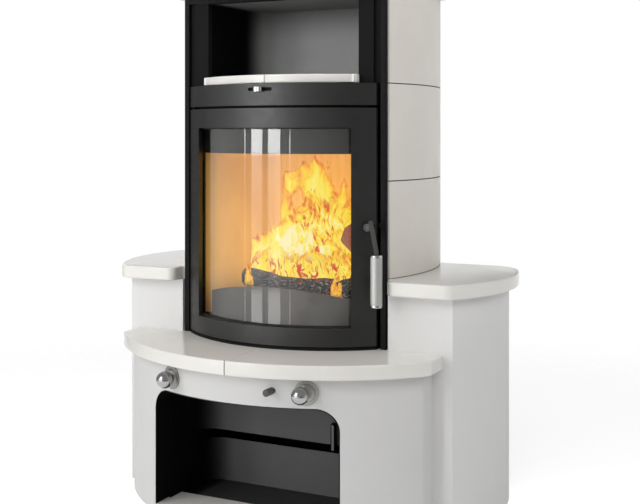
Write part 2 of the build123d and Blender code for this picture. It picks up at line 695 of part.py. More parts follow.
# ---------------------------------------------------------------- door
def door_frame():
    """Curved cast door: edge plate, deeper rim, window with a glass rebate, hinge and spindle bores."""
    gap = 0.5
    with BuildPart() as frame:
        add(bulge_band(DOOR_R, DOOR_R - DOOR_PLATE, DOOR_HALF, DOOR_Z0, DOOR_Z1))
        ends = edges().filter_by(Axis.Z).group_by(Axis.Y)
        chamfer(ends[-1], 4)
        fillet(edges().filter_by(Axis.Z).group_by(Axis.Y)[0], 2)
        add(bulge_band(DOOR_R - DOOR_PLATE + 1, DOOR_R - DOOR_DEPTH, RIM_HALF, DOOR_Z0 + 4, DOOR_Z1 - 4))
        front_cut(GLASS_OPENING_HALF, GLASS_Z0, GLASS_Z1, -200, 0, 3)
        add(bulge_band(352, 340, 212, 426, 898), mode=Mode.SUBTRACT)
        with BuildSketch(Plane.XY.offset(GLASS_Z0 - 22)) as groove:
            bulge_disc(DOOR_R - DOOR_DEPTH + 1, 224, 0)
            with Locations((0, BULGE_Y)):
                Circle(330, mode=Mode.SUBTRACT)
        height = GLASS_Z1 - GLASS_Z0 + 44
        seal_groove = extrude(groove.sketch, amount=height, mode=Mode.PRIVATE)
        with BuildSketch(Plane.XZ) as island:
            with Locations((0, (GLASS_Z0 + GLASS_Z1) / 2)):
                Rectangle(2 * 217, height - 14)
        core = extrude(island.sketch, amount=OVERALL_DEPTH, mode=Mode.PRIVATE)
        add(seal_groove - core, mode=Mode.SUBTRACT)
        rod_along_y(HANDLE_X, HANDLE_Z, HUB_R, -75.6, -56)
        rod_along_y(HANDLE_X, HANDLE_Z, SPINDLE_R + SPINDLE_FIT, -90, -30, Mode.SUBTRACT)
        for z0, z1 in ((DOOR_Z0, DOOR_Z0 + 26), (DOOR_Z1 - 26, DOOR_Z1)):
            with Locations((HINGE_X, HINGE_Y, (z0 + z1) / 2)):
                Cylinder(HINGE_PIN_R + HINGE_FIT, z1 - z0, mode=Mode.SUBTRACT)
    return frame.part


def door_glass():
    """Curved pane in the door's rebate."""
    return bulge_band(350, 346, 211, 427, 897)


def door_seals():
    """Flat tape in front of the glass and the square rope round the door's rim."""
    with BuildPart() as seals:
        add(bulge_band(352, 350, 211, 427, 897))
        front_cut(204, GLASS_Z0 + 3, GLASS_Z1 - 3, -200, 0)
        height = GLASS_Z1 - GLASS_Z0 + 44
        with BuildSketch(Plane.XZ) as island:
            with Locations((0, (GLASS_Z0 + GLASS_Z1) / 2)):
                Rectangle(2 * 217, height - 14)
        core = extrude(island.sketch, amount=OVERALL_DEPTH, mode=Mode.PRIVATE)
        rope = bulge_band(345, 340.5, 224, GLASS_Z0 - 22, GLASS_Z0 - 22 + height)
        add(rope - core)
    return seals.part


def glass_clips():
    """Six small stepped clips that hold the pane from inside."""
    height = 24
    with BuildPart() as clips:
        for z0 in (500, 655, 810):
            add(bulge_band(346, 344, 211, z0, z0 + height))
            add(bulge_band(344, 342, 216, z0, z0 + height))
        front_cut(204, GLASS_Z0, GLASS_Z1, -200, 0)
    return clips.part


def hinge_pins():
    """Lower and upper door pins; the lower one has a collar that carries the door."""
    with BuildPart() as pins:
        with Locations((HINGE_X, HINGE_Y, HEARTH_Z)):
            Cylinder(HINGE_PIN_R, 32, align=(Align.CENTER, Align.CENTER, Align.MIN))
        with Locations((HINGE_X, HINGE_Y, HEARTH_Z + SILL)):
            Cylinder(7, 1.6, align=(Align.CENTER, Align.CENTER, Align.MIN))
        with Locations((HINGE_X, HINGE_Y, DOOR_Z1 - 24)):
            Cylinder(HINGE_PIN_R, PANEL_Z0 + PANEL_SHEET - DOOR_Z1 + 24,
                     align=(Align.CENTER, Align.CENTER, Align.MIN))
    return pins.part


def latch_keeper():
    """Small angle on the right frame strip, in front of the latch tongue."""
    with BuildPart() as keeper:
        block(251.5, 261.5, -41, -38, 630, 662.5)
        block(258, 261.5, -49, -38, 630, 662.5)
    return keeper.part


# ---------------------------------------------------------------- door handle
def handle_spindle():
    """Round spindle through the door's right stile."""
    with BuildPart() as spindle:
        rod_along_y(HANDLE_X, HANDLE_Z, SPINDLE_R, HUB_FRONT_Y + 1, -33)
        chamfer(edges().filter_by(GeomType.CIRCLE).group_by(Axis.Y)[0], 1)
    return spindle.part


def handle_arm():
    """Hub on the spindle and the straight flat arm, welded beside it, that carries the grip."""
    top = Vector(247.5, HUB_FRONT_Y)
    side = Vector(GRIP_X, GRIP_Y) - top
    arm_plane = Plane(origin=top, x_dir=side, z_dir=side.cross(Vector(0, 0, 1)))
    with BuildPart() as arm:
        with BuildSketch(arm_plane) as bar:
            with BuildLine() as centre:
                Polyline((0, HANDLE_Z + 11), (side.length, GRIP_Z1 + 6), (side.length, GRIP_Z1))
            trace(centre.line, line_width=10.5)
            with Locations((0, HANDLE_Z + 11)):
                Circle(5.25)
        extrude(amount=3, both=True)
        rod_along_y(HANDLE_X, HANDLE_Z, HUB_R, HUB_FRONT_Y, -76.1)
        rod_along_y(HANDLE_X, HANDLE_Z, SPINDLE_R, -110, -70, Mode.SUBTRACT)
    return arm.part


def handle_grip():
    """Straight round grip between its ferrules."""
    with BuildPart() as grip:
        with Locations((GRIP_X, GRIP_Y, GRIP_Z0 + FERRULE)):
            Cylinder(GRIP_R, GRIP_Z1 - GRIP_Z0 - 2 * FERRULE,
                     align=(Align.CENTER, Align.CENTER, Align.MIN))
    return grip.part


def grip_ferrules():
    """Polished end rings of the grip."""
    with BuildPart() as rings:
        for z0 in (GRIP_Z0, GRIP_Z1 - FERRULE):
            with Locations((GRIP_X, GRIP_Y, z0)):
                Cylinder(GRIP_R - 0.6, FERRULE, align=(Align.CENTER, Align.CENTER, Align.MIN))
        rims = edges().filter_by(GeomType.CIRCLE).group_by(Axis.Z)
        fillet([rims[0][0], rims[-1][0]], 2)
    return rings.part


def latch_tongue():
    """Plate on the spindle's inner end; its finger slips behind the keeper when the grip is pressed."""
    lift = 15
    tip = 16.4
    with BuildPart() as tongue:
        with BuildSketch(Plane.XZ.offset(36.5 - 3.5)):
            with Locations((HANDLE_X, HANDLE_Z)):
                Circle(9)
                with Locations(Location((0, 0), lift)):
                    with Locations((tip / 2, 0)):
                        Rectangle(tip, 8)
                Circle(SPINDLE_R, mode=Mode.SUBTRACT)
        extrude(amount=3.5)
    return tongue.part


# ---------------------------------------------------------------- controls
def slider_bar():
    """Curved shutter bar behind the fascia, with three air slots."""
    with BuildPart() as bar:
        add(bulge_band(361, 358, 75, 965, 985.4))
        with BuildSketch(Plane.XZ) as slots:
            with Locations((-48, 975), (48, 975)):
                SlotOverall(30, 8)
        extrude(slots.sketch, amount=OVERALL_DEPTH, mode=Mode.SUBTRACT)
    return bar.part


def slider_knob():
    """Polished tab of the slider, on a neck through the slot."""
    neck_y0, neck_y1 = arc_y(DOOR_R, 0) - 8, arc_y(361, 0)
    with BuildPart() as knob:
        block(-4, 4, neck_y0, neck_y1, 973.2, 978.8)
        block(-11, 11, neck_y0 - 8, neck_y0, 970.5, 981.5)
        fillet(edges().filter_by(Axis.Z).group_by(Axis.Y)[0], 7)
        fillet(faces().sort_by(Axis.Z)[-1].edges().sort_by(Axis.Y)[0], 1.5)
    return knob.part


def rosette():
    """Round plate with a raised boss, turned about Z."""
    with BuildPart() as plate:
        with BuildSketch(Plane.XZ):
            with BuildLine():
                rim = Polyline((0, 0), (ROSETTE_R, 0), (ROSETTE_R, 2), (20, 3.2))
                boss = ThreePointArc(rim @ 1, (17, 7), (10, 8.5))
                Polyline(boss @ 1, (0, 8.5), (0, 0))
            make_face()
        revolve(axis=Axis.Z)
    return plate.part


def rosettes():
    """The two plates of the air pulls, square to the curved apron and bored along the stove."""
    seat_y = arc_y(APRON_R, PULL_X)
    with BuildPart() as pair:
        for side in (-1, 1):
            turn = degrees(asin(PULL_X / APRON_R)) * side
            seat = Location((side * PULL_X, seat_y, PULL_Z), (0, 0, turn))
            add(rosette().moved(seat * Location((0, 0, 0), (90, 0, 0))))
        for side in (-1, 1):
            rod_along_y(side * PULL_X, PULL_Z, PULL_ROD_R + 0.6, FRONT_Y, seat_y + 20, Mode.SUBTRACT)
    return pair.part


def air_pull():
    """Right air pull: rod with a valve disc inside the air box, and a ball knob outside."""
    ball_y = -285
    with BuildPart() as pull:
        rod_along_y(PULL_X, PULL_Z, PULL_ROD_R, ball_y + 12, 30)
        rod_along_y(PULL_X, PULL_Z, 15, 18, 21)
    with BuildPart() as ball:
        with Locations((PULL_X, ball_y, PULL_Z)):
            Sphere(BALL_R)
        rod_along_y(PULL_X, PULL_Z, PULL_ROD_R, ball_y + 12, 30, Mode.SUBTRACT)
    return group(pull.part, ball.part)


def riddle_pull():
    """Riddling rod with its upright lug, and the dark knob in front of the apron."""
    knob_y1 = arc_y(APRON_R, RIDDLE_X) - 4
    with BuildPart() as rod:
        rod_along_y(RIDDLE_X, RIDDLE_Z, RIDDLE_ROD_R, knob_y1 - 20, 76)
        block(RIDDLE_X - 6, RIDDLE_X + 1, 70, 82, RIDDLE_Z - 4, 421)
    with BuildPart() as knob:
        rod_along_y(RIDDLE_X, RIDDLE_Z, 7.8, knob_y1 - 25, knob_y1)
        fillet(edges().filter_by(GeomType.CIRCLE).group_by(Axis.Y)[0], 2)
        fillet(edges().filter_by(GeomType.CIRCLE).group_by(Axis.Y)[-1], 1.5)
        rod_along_y(RIDDLE_X, RIDDLE_Z, RIDDLE_ROD_R, knob_y1 - 20, knob_y1 + 1, Mode.SUBTRACT)
    return group(rod.part, knob.part)


def riddling_grate():
    """Slotted plate that slides under the fixed grate."""
    with BuildPart() as plate:
        block(-99, 99, 64, 160, 421, 426)
        with Locations((0, 112, 423.5)):
            with GridLocations(24, 1, 8, 1):
                Box(9, 76, 6, mode=Mode.SUBTRACT)
    return plate.part


# ---------------------------------------------------------------- build and write
hand_both(bench_body(), "bench_body")
hand_both(bench_slab(), "bench_slab")
hand_both(hearth_slab(), "hearth_slab")
hand_both(niche_plate(), "niche_plate")
for row, level in enumerate(("lower", "middle", "upper")):
    hand_both(tile(row), f"tile_{level}")
hand_both(lining_side(), "lining")
hand_both(air_pull(), "air_pull")

for build in (apron, base_slab, top_slab, front_frame, base_trim, control_panel, niche_liner,
              rear_panel, side_casings, firebox_shell, lining_rear, lining_floor, baffle_plate,
              smoke_duct, air_box, ash_pan, grate_frame, log_guard, logs, bin_carcass, bin_peg,
              levelling_feet, door_frame, door_glass, door_seals, glass_clips, hinge_pins,
              latch_keeper, handle_spindle, handle_arm, handle_grip, grip_ferrules, latch_tongue,
              slider_bar, slider_knob, rosettes, riddle_pull, riddling_grate):
    save(build(), build.__name__)

save(bin_back_panel(-34, 150, BIN_CEILING_Z - SHEET), "bin_back_upper")
save(bin_back_panel(-1, FOOT_H + SHEET, 120), "bin_back_lower")
save(spigot(FLUE_R, FLUE_WALL, FLUE_Z, 256.5, 90, 4), "flue_spigot")
save(spigot(INLET_R, INLET_WALL, INLET_Z, AIR_BOX_BACK_Y, 46, 3), "air_spigot")
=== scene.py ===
"""Looks of the tiled stove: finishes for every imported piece, the fire, the pane and the studio."""
import math

import bmesh
import bpy
from mathutils import Matrix, Vector, noise


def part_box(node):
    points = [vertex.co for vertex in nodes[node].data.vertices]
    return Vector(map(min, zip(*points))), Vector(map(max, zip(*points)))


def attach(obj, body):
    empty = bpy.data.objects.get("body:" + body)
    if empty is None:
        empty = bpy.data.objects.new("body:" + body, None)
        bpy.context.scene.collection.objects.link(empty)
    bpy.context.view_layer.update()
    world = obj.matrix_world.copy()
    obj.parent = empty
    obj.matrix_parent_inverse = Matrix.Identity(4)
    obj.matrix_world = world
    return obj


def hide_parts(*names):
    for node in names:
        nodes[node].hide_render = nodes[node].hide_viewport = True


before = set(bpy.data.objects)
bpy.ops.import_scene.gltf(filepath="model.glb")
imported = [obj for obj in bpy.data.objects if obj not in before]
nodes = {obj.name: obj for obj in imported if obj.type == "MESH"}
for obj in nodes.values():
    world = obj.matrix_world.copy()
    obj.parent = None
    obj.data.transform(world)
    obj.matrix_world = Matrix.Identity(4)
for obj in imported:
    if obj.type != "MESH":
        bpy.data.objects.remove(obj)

MM = 0.001
FLOOR_LIFT = 0.64                              # white that the floor shows to the camera over its own colour
# Radiance of the surroundings by azimuth in degrees: 0 is in front, positive to the viewer's right.
WALLS = [(-180, 1.0), (-134, 1.0), (-120, 0.30), (-105, 0.08), (-90, 0.15), (-80, 0.5), (-70, 1.0),
         (-45, 1.15), (-30, 1.4), (-10, 1.4), (0, 1.05), (10, 0.72), (20, 0.60), (27, 0.34), (45, 0.20),
         (65, 0.30), (100, 1.0), (180, 1.0)]
CEILING = [(-180, 0.27), (-162, 0.30), (-150, 0.90), (-132, 0.90), (-118, 0.45), (180, 0.45)]
CEILING_START, CEILING_FULL = 0.1225, 0.14     # sine of the elevation where the ceiling takes over
WALLS_MATT, CEILING_MATT = 0.85, 0.15          # shares of that radiance which light the matt surfaces
STRIP_MATT = 0.83                              # the same share for the light strips
# Radiance of the light strips at heights in metres.
STRIP_RADIANCE = [(-0.15, 3.6), (0.145, 3.6), (0.185, 1.4), (0.28, 2.2), (0.60, 2.3), (0.62, 2.7),
                  (0.77, 2.9), (0.79, 9.5), (0.92, 9.5), (0.98, 6.0), (2.5, 6.0)]
STRIP_DISTANCE = 2.5
LAMP_DISTANCE, LAMP_SIZE = 3.0, 1.6
LAMP_TARGET = Vector((0, 0, 0.6))
FLOOR_RADIUS = 2.4
FLOOR_FADE_START, FLOOR_FADE_END = 1.0, 2.3    # distances between which the floor fades out
NOISE_LOW, NOISE_HIGH = 0.3, 0.7               # the values that a noise mostly lies between
WELD_DISTANCE = 0.02 * MM
PART_CREASE, PANE_CREASE, BEVEL_CREASE = 28, 15, 40    # least angles of a sharp edge, in degrees
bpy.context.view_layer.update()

# ---------------------------------------------------------------- places read from the frame
BULGE_AXIS = Vector((0, 212 * MM, 0))          # upright axis that every curved front piece shares
glass_low, glass_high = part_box("door_glass")
log_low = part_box("logs")[0]
rear_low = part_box("lining_rear")[0]
tile_low, tile_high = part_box("tile_lower_right")
TILE_FOOT_Z, TILE_ROW = tile_low.z, tile_high.z - tile_low.z
GROUT = 1.6 * MM                               # half width of the dark joint between two tile rows
niche_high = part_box("niche_liner")[1]
FIRE_HEART = Vector((20 * MM, 50 * MM, 580 * MM))
FIRE_BASE_Z = log_low.z + 63 * MM
EMBER_HEART = Vector((60 * MM, 20 * MM, 545 * MM))


# ---------------------------------------------------------------- shader node groups
def new_group(name, inputs, outputs):
    """An empty shader node group with its named sockets, and its two end nodes."""
    group = bpy.data.node_groups.new(name, "ShaderNodeTree")
    for title, kind, value in inputs:
        socket = group.interface.new_socket(title, in_out="INPUT", socket_type=f"NodeSocket{kind}")
        if value is not None:
            socket.default_value = value
    for title, kind in outputs:
        group.interface.new_socket(title, in_out="OUTPUT", socket_type=f"NodeSocket{kind}")
    start = group.nodes.new("NodeGroupInput")
    end = group.nodes.new("NodeGroupOutput")
    return group, start, end


def add_node(tree, kind, settings=None, inputs=None):
    """A node with its settings and its unlinked input values."""
    node = tree.nodes.new(f"ShaderNode{kind}")
    for key, value in (settings or {}).items():
        setattr(node, key, value)
    for key, value in (inputs or {}).items():
        if isinstance(value, bpy.types.NodeSocket):
            tree.links.new(value, node.inputs[key])
        else:
            node.inputs[key].default_value = value
    return node


def math_node(tree, operation, a, b=0.0):
    """Output of a Math node; a and b are sockets or numbers."""
    return add_node(tree, "Math", {"operation": operation}, {0: a, 1: b}).outputs[0]


def map_range(tree, value, low, high, to_low=0.0, to_high=1.0, smooth=True):
    """Output of a clamped Map Range node."""
    kind = "SMOOTHSTEP" if smooth else "LINEAR"
    node = add_node(tree, "MapRange", {"interpolation_type": kind},
                    {"Value": value, "From Min": low, "From Max": high, "To Min": to_low, "To Max": to_high})
    return node.outputs["Result"]


def mix_colour(tree, factor, a, b, blend="MIX"):
    """Output of a Mix Color node."""
    node = add_node(tree, "Mix", {"data_type": "RGBA", "blend_type": blend}, {0: factor, 6: a, 7: b})
    return node.outputs[2]


def fill_ramp(ramp, stops):
    """Set a colour ramp's stops from pairs of a place from 0 to 1 and a colour."""
    elements = ramp.color_ramp.elements
    elements[0].position, elements[0].color = stops[0]
    elements[1].position, elements[1].color = stops[-1]
    for position, colour in stops[1:-1]:
        elements.new(position).color = colour


def grain_group():
    """Fine and broad unevenness, as in paint, plaster, cast metal and brick."""
    group, start, end = new_group(
        "grain",
        [("Vector", "Vector", None), ("Scale", "Float", 400.0), ("Broad Share", "Float", 0.3)],
        [("Height", "Float"), ("Broad", "Float")])
    fine = add_node(group, "TexNoise", None,
                    {"Vector": start.outputs["Vector"], "Scale": start.outputs["Scale"], "Detail": 3.0})
    broad_scale = math_node(group, "MULTIPLY", start.outputs["Scale"], 0.04)
    broad = add_node(group, "TexNoise", None,
                     {"Vector": start.outputs["Vector"], "Scale": broad_scale, "Detail": 2.0})
    both = add_node(group, "Mix", {"data_type": "FLOAT"},
                    {0: start.outputs["Broad Share"], 2: fine.outputs["Fac"], 3: broad.outputs["Fac"]})
    group.links.new(both.outputs[0], end.inputs["Height"])
    group.links.new(broad.outputs["Fac"], end.inputs["Broad"])
    return group


def tone_group():
    """Slow drift between two tones of one finish."""
    group, start, end = new_group(
        "tone",
        [("Vector", "Vector", None), ("Scale", "Float", 6.0),
         ("Light", "Color", (0.8, 0.8, 0.8, 1)), ("Dark", "Color", (0.7, 0.7, 0.7, 1))],
        [("Colour", "Color")])
    drift = add_node(group, "TexNoise", None,
                     {"Vector": start.outputs["Vector"], "Scale": start.outputs["Scale"], "Detail": 4.0,
                      "Roughness": 0.6})
    share = map_range(group, drift.outputs["Fac"], 0.35, 0.65)
    colour = mix_colour(group, share, start.outputs["Dark"], start.outputs["Light"])
    group.links.new(colour, end.inputs["Colour"])
    return group


def near_fire_group():
    """Mask of how close a point is to the heart of the fire: 1 there, 0 at the reach."""
    group, start, end = new_group(
        "near_fire",
        [("Vector", "Vector", None), ("Heart", "Vector", FIRE_HEART), ("Reach", "Float", 0.4)],
        [("Mask", "Float")])
    distance = add_node(group, "VectorMath", {"operation": "DISTANCE"},
                        {0: start.outputs["Vector"], 1: start.outputs["Heart"]})
    share = math_node(group, "DIVIDE", distance.outputs["Value"], start.outputs["Reach"])
    mask = map_range(group, share, 1.0, 0.0)
    group.links.new(mask, end.inputs["Mask"])
    return group


def drawn_lines_group():
    """Fine parallel lines left by brushing, rolling or turning; squeezed along the vector's stretch."""
    group, start, end = new_group(
        "drawn_lines",
        [("Vector", "Vector", None), ("Stretch", "Vector", (1.0, 1.0, 40.0)), ("Scale", "Float", 60.0)],
        [("Height", "Float")])
    stretched = add_node(group, "VectorMath", {"operation": "MULTIPLY"},
                         {0: start.outputs["Vector"], 1: start.outputs["Stretch"]})
    lines = add_node(group, "TexNoise", None,
                     {"Vector": stretched.outputs["Vector"], "Scale": start.outputs["Scale"], "Detail": 2.0})
    group.links.new(lines.outputs["Fac"], end.inputs["Height"])
    return group


GROUPS = {"grain": grain_group(), "tone": tone_group(), "near_fire": near_fire_group(),
          "drawn_lines": drawn_lines_group()}


# ---------------------------------------------------------------- finishes
class Finish:
    """A material with its Principled shader, its own coordinates and short ways to build on them."""

    def __init__(self, name, **plain):
        self.material = bpy.data.materials.new(name)
        self.material.use_nodes = True
        self.tree = self.material.node_tree
        self.shader = self.tree.nodes["Principled BSDF"]
        self.output = self.tree.nodes["Material Output"]
        self.place = self.tree.nodes.new("ShaderNodeTexCoord").outputs["Object"]
        for key, value in plain.items():
            title = key.replace("_", " ").title().replace("Ior", "IOR")
            self.shader.inputs[title].default_value = value

    def add(self, kind, settings=None, inputs=None):
        return add_node(self.tree, kind, settings, inputs)

    def group(self, name, inputs):
        node = self.tree.nodes.new("ShaderNodeGroup")
        node.node_tree = GROUPS[name]
        self.tree.links.new(self.place, node.inputs["Vector"])
        for key, value in inputs.items():
            node.inputs[key].default_value = value
        return node

    def feed(self, title, socket):
        self.tree.links.new(socket, self.shader.inputs[title])

    def bump(self, height, strength, depth):
        node = self.add("Bump", None, {"Strength": strength, "Distance": depth, "Height": height})
        self.feed("Normal", node.outputs["Normal"])

    def spread(self, noise_value, low, high):
        """A value that follows a noise from low to high."""
        return map_range(self.tree, noise_value, NOISE_LOW, NOISE_HIGH, low, high)


def grey(level, warmth=0.0):
    """A near-neutral colour; warmth takes a share from its blue."""
    return (level, level * (1 - warmth * 0.4), level * (1 - warmth), 1)


def slab_glaze():
    """Glossy warm white glaze of the thick slabs."""
    finish = Finish("slab_glaze", ior=1.45)
    tone = finish.group("tone", {"Scale": 5.0, "Light": (0.82, 0.80, 0.758, 1),
                                 "Dark": (0.795, 0.776, 0.733, 1)})
    finish.feed("Base Color", tone.outputs["Colour"])
    grain = finish.group("grain", {"Scale": 260.0, "Broad Share": 0.8})
    finish.feed("Roughness", finish.spread(grain.outputs["Broad"], 0.10, 0.16))
    finish.bump(grain.outputs["Height"], strength=0.04, depth=0.2 * MM)
    return finish.material


def matt_plaster(name, level):
    """Matt white skim coat of the benches or the apron."""
    finish = Finish(name, ior=1.45)
    tone = finish.group("tone", {"Scale": 4.0, "Light": grey(level, 0.012),
                                 "Dark": grey(level * 0.98, 0.015)})
    finish.feed("Base Color", tone.outputs["Colour"])
    grain = finish.group("grain", {"Scale": 700.0, "Broad Share": 0.25})
    finish.feed("Roughness", finish.spread(grain.outputs["Broad"], 0.48, 0.60))
    finish.bump(grain.outputs["Height"], strength=0.12, depth=0.25 * MM)
    return finish.material


def tile_glaze():
    """Pale grey satin glaze of the side tiles, with dark grout in the joints between the rows."""
    finish = Finish("tile_glaze", ior=1.5, specular_ior_level=0.25)
    tree = finish.tree
    tone = finish.group("tone", {"Scale": 7.0, "Light": (0.745, 0.712, 0.66, 1),
                                 "Dark": (0.72, 0.686, 0.634, 1)})
    split = finish.add("SeparateXYZ", None, {"Vector": finish.place})
    rows = math_node(tree, "SUBTRACT", split.outputs["Z"], TILE_FOOT_Z)
    seat = math_node(tree, "PINGPONG", rows, TILE_ROW)
    grout = map_range(tree, math_node(tree, "MINIMUM", seat, math_node(tree, "SUBTRACT", TILE_ROW, seat)),
                      GROUT, GROUT * 0.6)
    finish.feed("Base Color", mix_colour(tree, grout, tone.outputs["Colour"], grey(0.12, 0.05)))
    grain = finish.group("grain", {"Scale": 320.0, "Broad Share": 0.6})
    glazed = finish.spread(grain.outputs["Broad"], 0.30, 0.40)
    finish.feed("Roughness", math_node(tree, "ADD", glazed, math_node(tree, "MULTIPLY", grout, 0.5)))
    finish.bump(grain.outputs["Height"], strength=0.06, depth=0.25 * MM)
    return finish.material


def black_paint(name, level, roughness, gloss=0.5):
    """Heat-proof black paint with a fine even grain."""
    finish = Finish(name, ior=1.5, specular_ior_level=gloss)
    tone = finish.group("tone", {"Scale": 9.0, "Light": grey(level * 1.15, 0.06),
                                 "Dark": grey(level * 0.85, 0.06)})
    finish.feed("Base Color", tone.outputs["Colour"])
    grain = finish.group("grain", {"Scale": 1500.0, "Broad Share": 0.1})
    finish.feed("Roughness", finish.spread(grain.outputs["Broad"], roughness - 0.04, roughness + 0.04))
    finish.bump(grain.outputs["Height"], strength=0.12, depth=0.12 * MM)
    return finish.material


def lining_enamel(name, light, grey_full_x, painted_shade_x, front_y=-1.0, z_dark=9.0, z_light=8.0):
    """Dark satin enamel of the inner sheets: black in front of front_y; painted shade makes it black at the
    sides and towards z_dark.

    The defaults of front_y, z_dark and z_light lie metres outside the stove, so they darken nothing.
    """
    finish = Finish(name, ior=1.5, specular_ior_level=0.10)
    tree = finish.tree
    tone = finish.group("tone", {"Scale": 5.0, "Light": grey(light), "Dark": grey(light * 0.92)})
    split = finish.add("SeparateXYZ", None, {"Vector": finish.place})
    behind = map_range(tree, split.outputs["Y"], front_y, front_y + 2 * MM)
    # painted shade: the grey fades to black towards the side walls, and towards z_dark at the top
    middle = map_range(tree, math_node(tree, "ABSOLUTE", split.outputs["X"]), painted_shade_x, grey_full_x)
    below = map_range(tree, split.outputs["Z"], z_dark, z_light)
    grey_share = math_node(tree, "MULTIPLY", math_node(tree, "MULTIPLY", behind, middle), below)
    # the jambs' black paint in front of front_y, and painted shade behind it
    black_paint_and_shade = mix_colour(tree, behind, grey(0.011), grey(0.002))
    finish.feed("Base Color", mix_colour(tree, grey_share, black_paint_and_shade, tone.outputs["Colour"]))
    lines = finish.group("drawn_lines", {"Stretch": (25.0, 25.0, 1.0), "Scale": 12.0})
    brushed = finish.spread(lines.outputs["Height"], 0.46, 0.54)
    finish.feed("Roughness", math_node(tree, "ADD", brushed, map_range(tree, grey_share, 1.0, 0.0, 0.0, 0.4)))
    return finish.material


def zinc_sheet():
    """Zinc-plated sheet with its faint spangle."""
    finish = Finish("zinc_sheet", metallic=1.0)
    spangle = finish.add("TexVoronoi", None, {"Vector": finish.place, "Scale": 90.0})
    tone = mix_colour(finish.tree, spangle.outputs["Color"], grey(0.42), grey(0.52))
    finish.feed("Base Color", tone)
    finish.feed("Roughness", map_range(finish.tree, spangle.outputs["Distance"], 0.0, 0.8, 0.32, 0.46))
    return finish.material


def cast_iron(name, level, glow):
    """Rough cast iron; its emission is painted firelight, which warms what lies close to the fire by glow."""
    finish = Finish(name, emission_strength=1.0)
    tone = finish.group("tone", {"Scale": 14.0, "Light": grey(level * 1.3, 0.1),
                                 "Dark": grey(level * 0.7, 0.1)})
    finish.feed("Base Color", tone.outputs["Colour"])
    grain = finish.group("grain", {"Scale": 600.0, "Broad Share": 0.3})
    finish.feed("Roughness", finish.spread(grain.outputs["Broad"], 0.45, 0.62))
    finish.bump(grain.outputs["Height"], strength=0.3, depth=0.3 * MM)
    # painted firelight: orange emission on the iron near the fire's heart
    near = finish.group("near_fire", {"Reach": 0.30})
    painted_iron_firelight = mix_colour(finish.tree, near.outputs["Mask"], (0, 0, 0, 1),
                      (0.9 * glow, 0.30 * glow, 0.05 * glow, 1))
    finish.feed("Emission Color", painted_iron_firelight)
    return finish.material


def fire_brick():
    """Pale fire brick with faint upright ribs; its emission is painted firelight, with painted shade at the
    foot and the left edge.
    """
    finish = Finish("fire_brick", emission_strength=1.0, roughness=0.85)
    tree = finish.tree
    tone = finish.group("tone", {"Scale": 10.0, "Light": (0.52, 0.36, 0.20, 1),
                                 "Dark": (0.45, 0.29, 0.15, 1)})
    finish.feed("Base Color", tone.outputs["Colour"])
    near = finish.group("near_fire", {"Reach": 0.52})
    ribs = add_node(tree, "TexWave", {"wave_type": "BANDS", "bands_direction": "X"},
                    {"Vector": finish.place, "Scale": 13.0, "Distortion": 0.6, "Detail": 1.0})
    rib_share = map_range(tree, ribs.outputs["Fac"], 0.0, 1.0, 0.90, 1.0)
    # painted firelight: the bricks' emission stands in for the fire's light, warmest near its heart
    light = mix_colour(tree, near.outputs["Mask"], (0.24, 0.105, 0.030, 1), (0.95, 0.485, 0.085, 1))
    ribbed = mix_colour(tree, 1.0, light, rib_share, "MULTIPLY")
    split = finish.add("SeparateXYZ", None, {"Vector": finish.place})
    # painted shade: that firelight dims towards the foot of the lining and towards its left edge
    foot = map_range(tree, split.outputs["Z"], rear_low.z, rear_low.z + 120 * MM, 0.22, 1.0)
    edge = map_range(tree, split.outputs["X"], rear_low.x - 30 * MM, rear_low.x + 90 * MM, 0.52, 1.0)
    painted_brick_firelight = mix_colour(tree, 1.0, ribbed, math_node(tree, "MULTIPLY", foot, edge), "MULTIPLY")
    finish.feed("Emission Color", painted_brick_firelight)
    grain = finish.group("grain", {"Scale": 300.0, "Broad Share": 0.4})
    finish.bump(grain.outputs["Height"], strength=0.4, depth=0.6 * MM)
    return finish.material


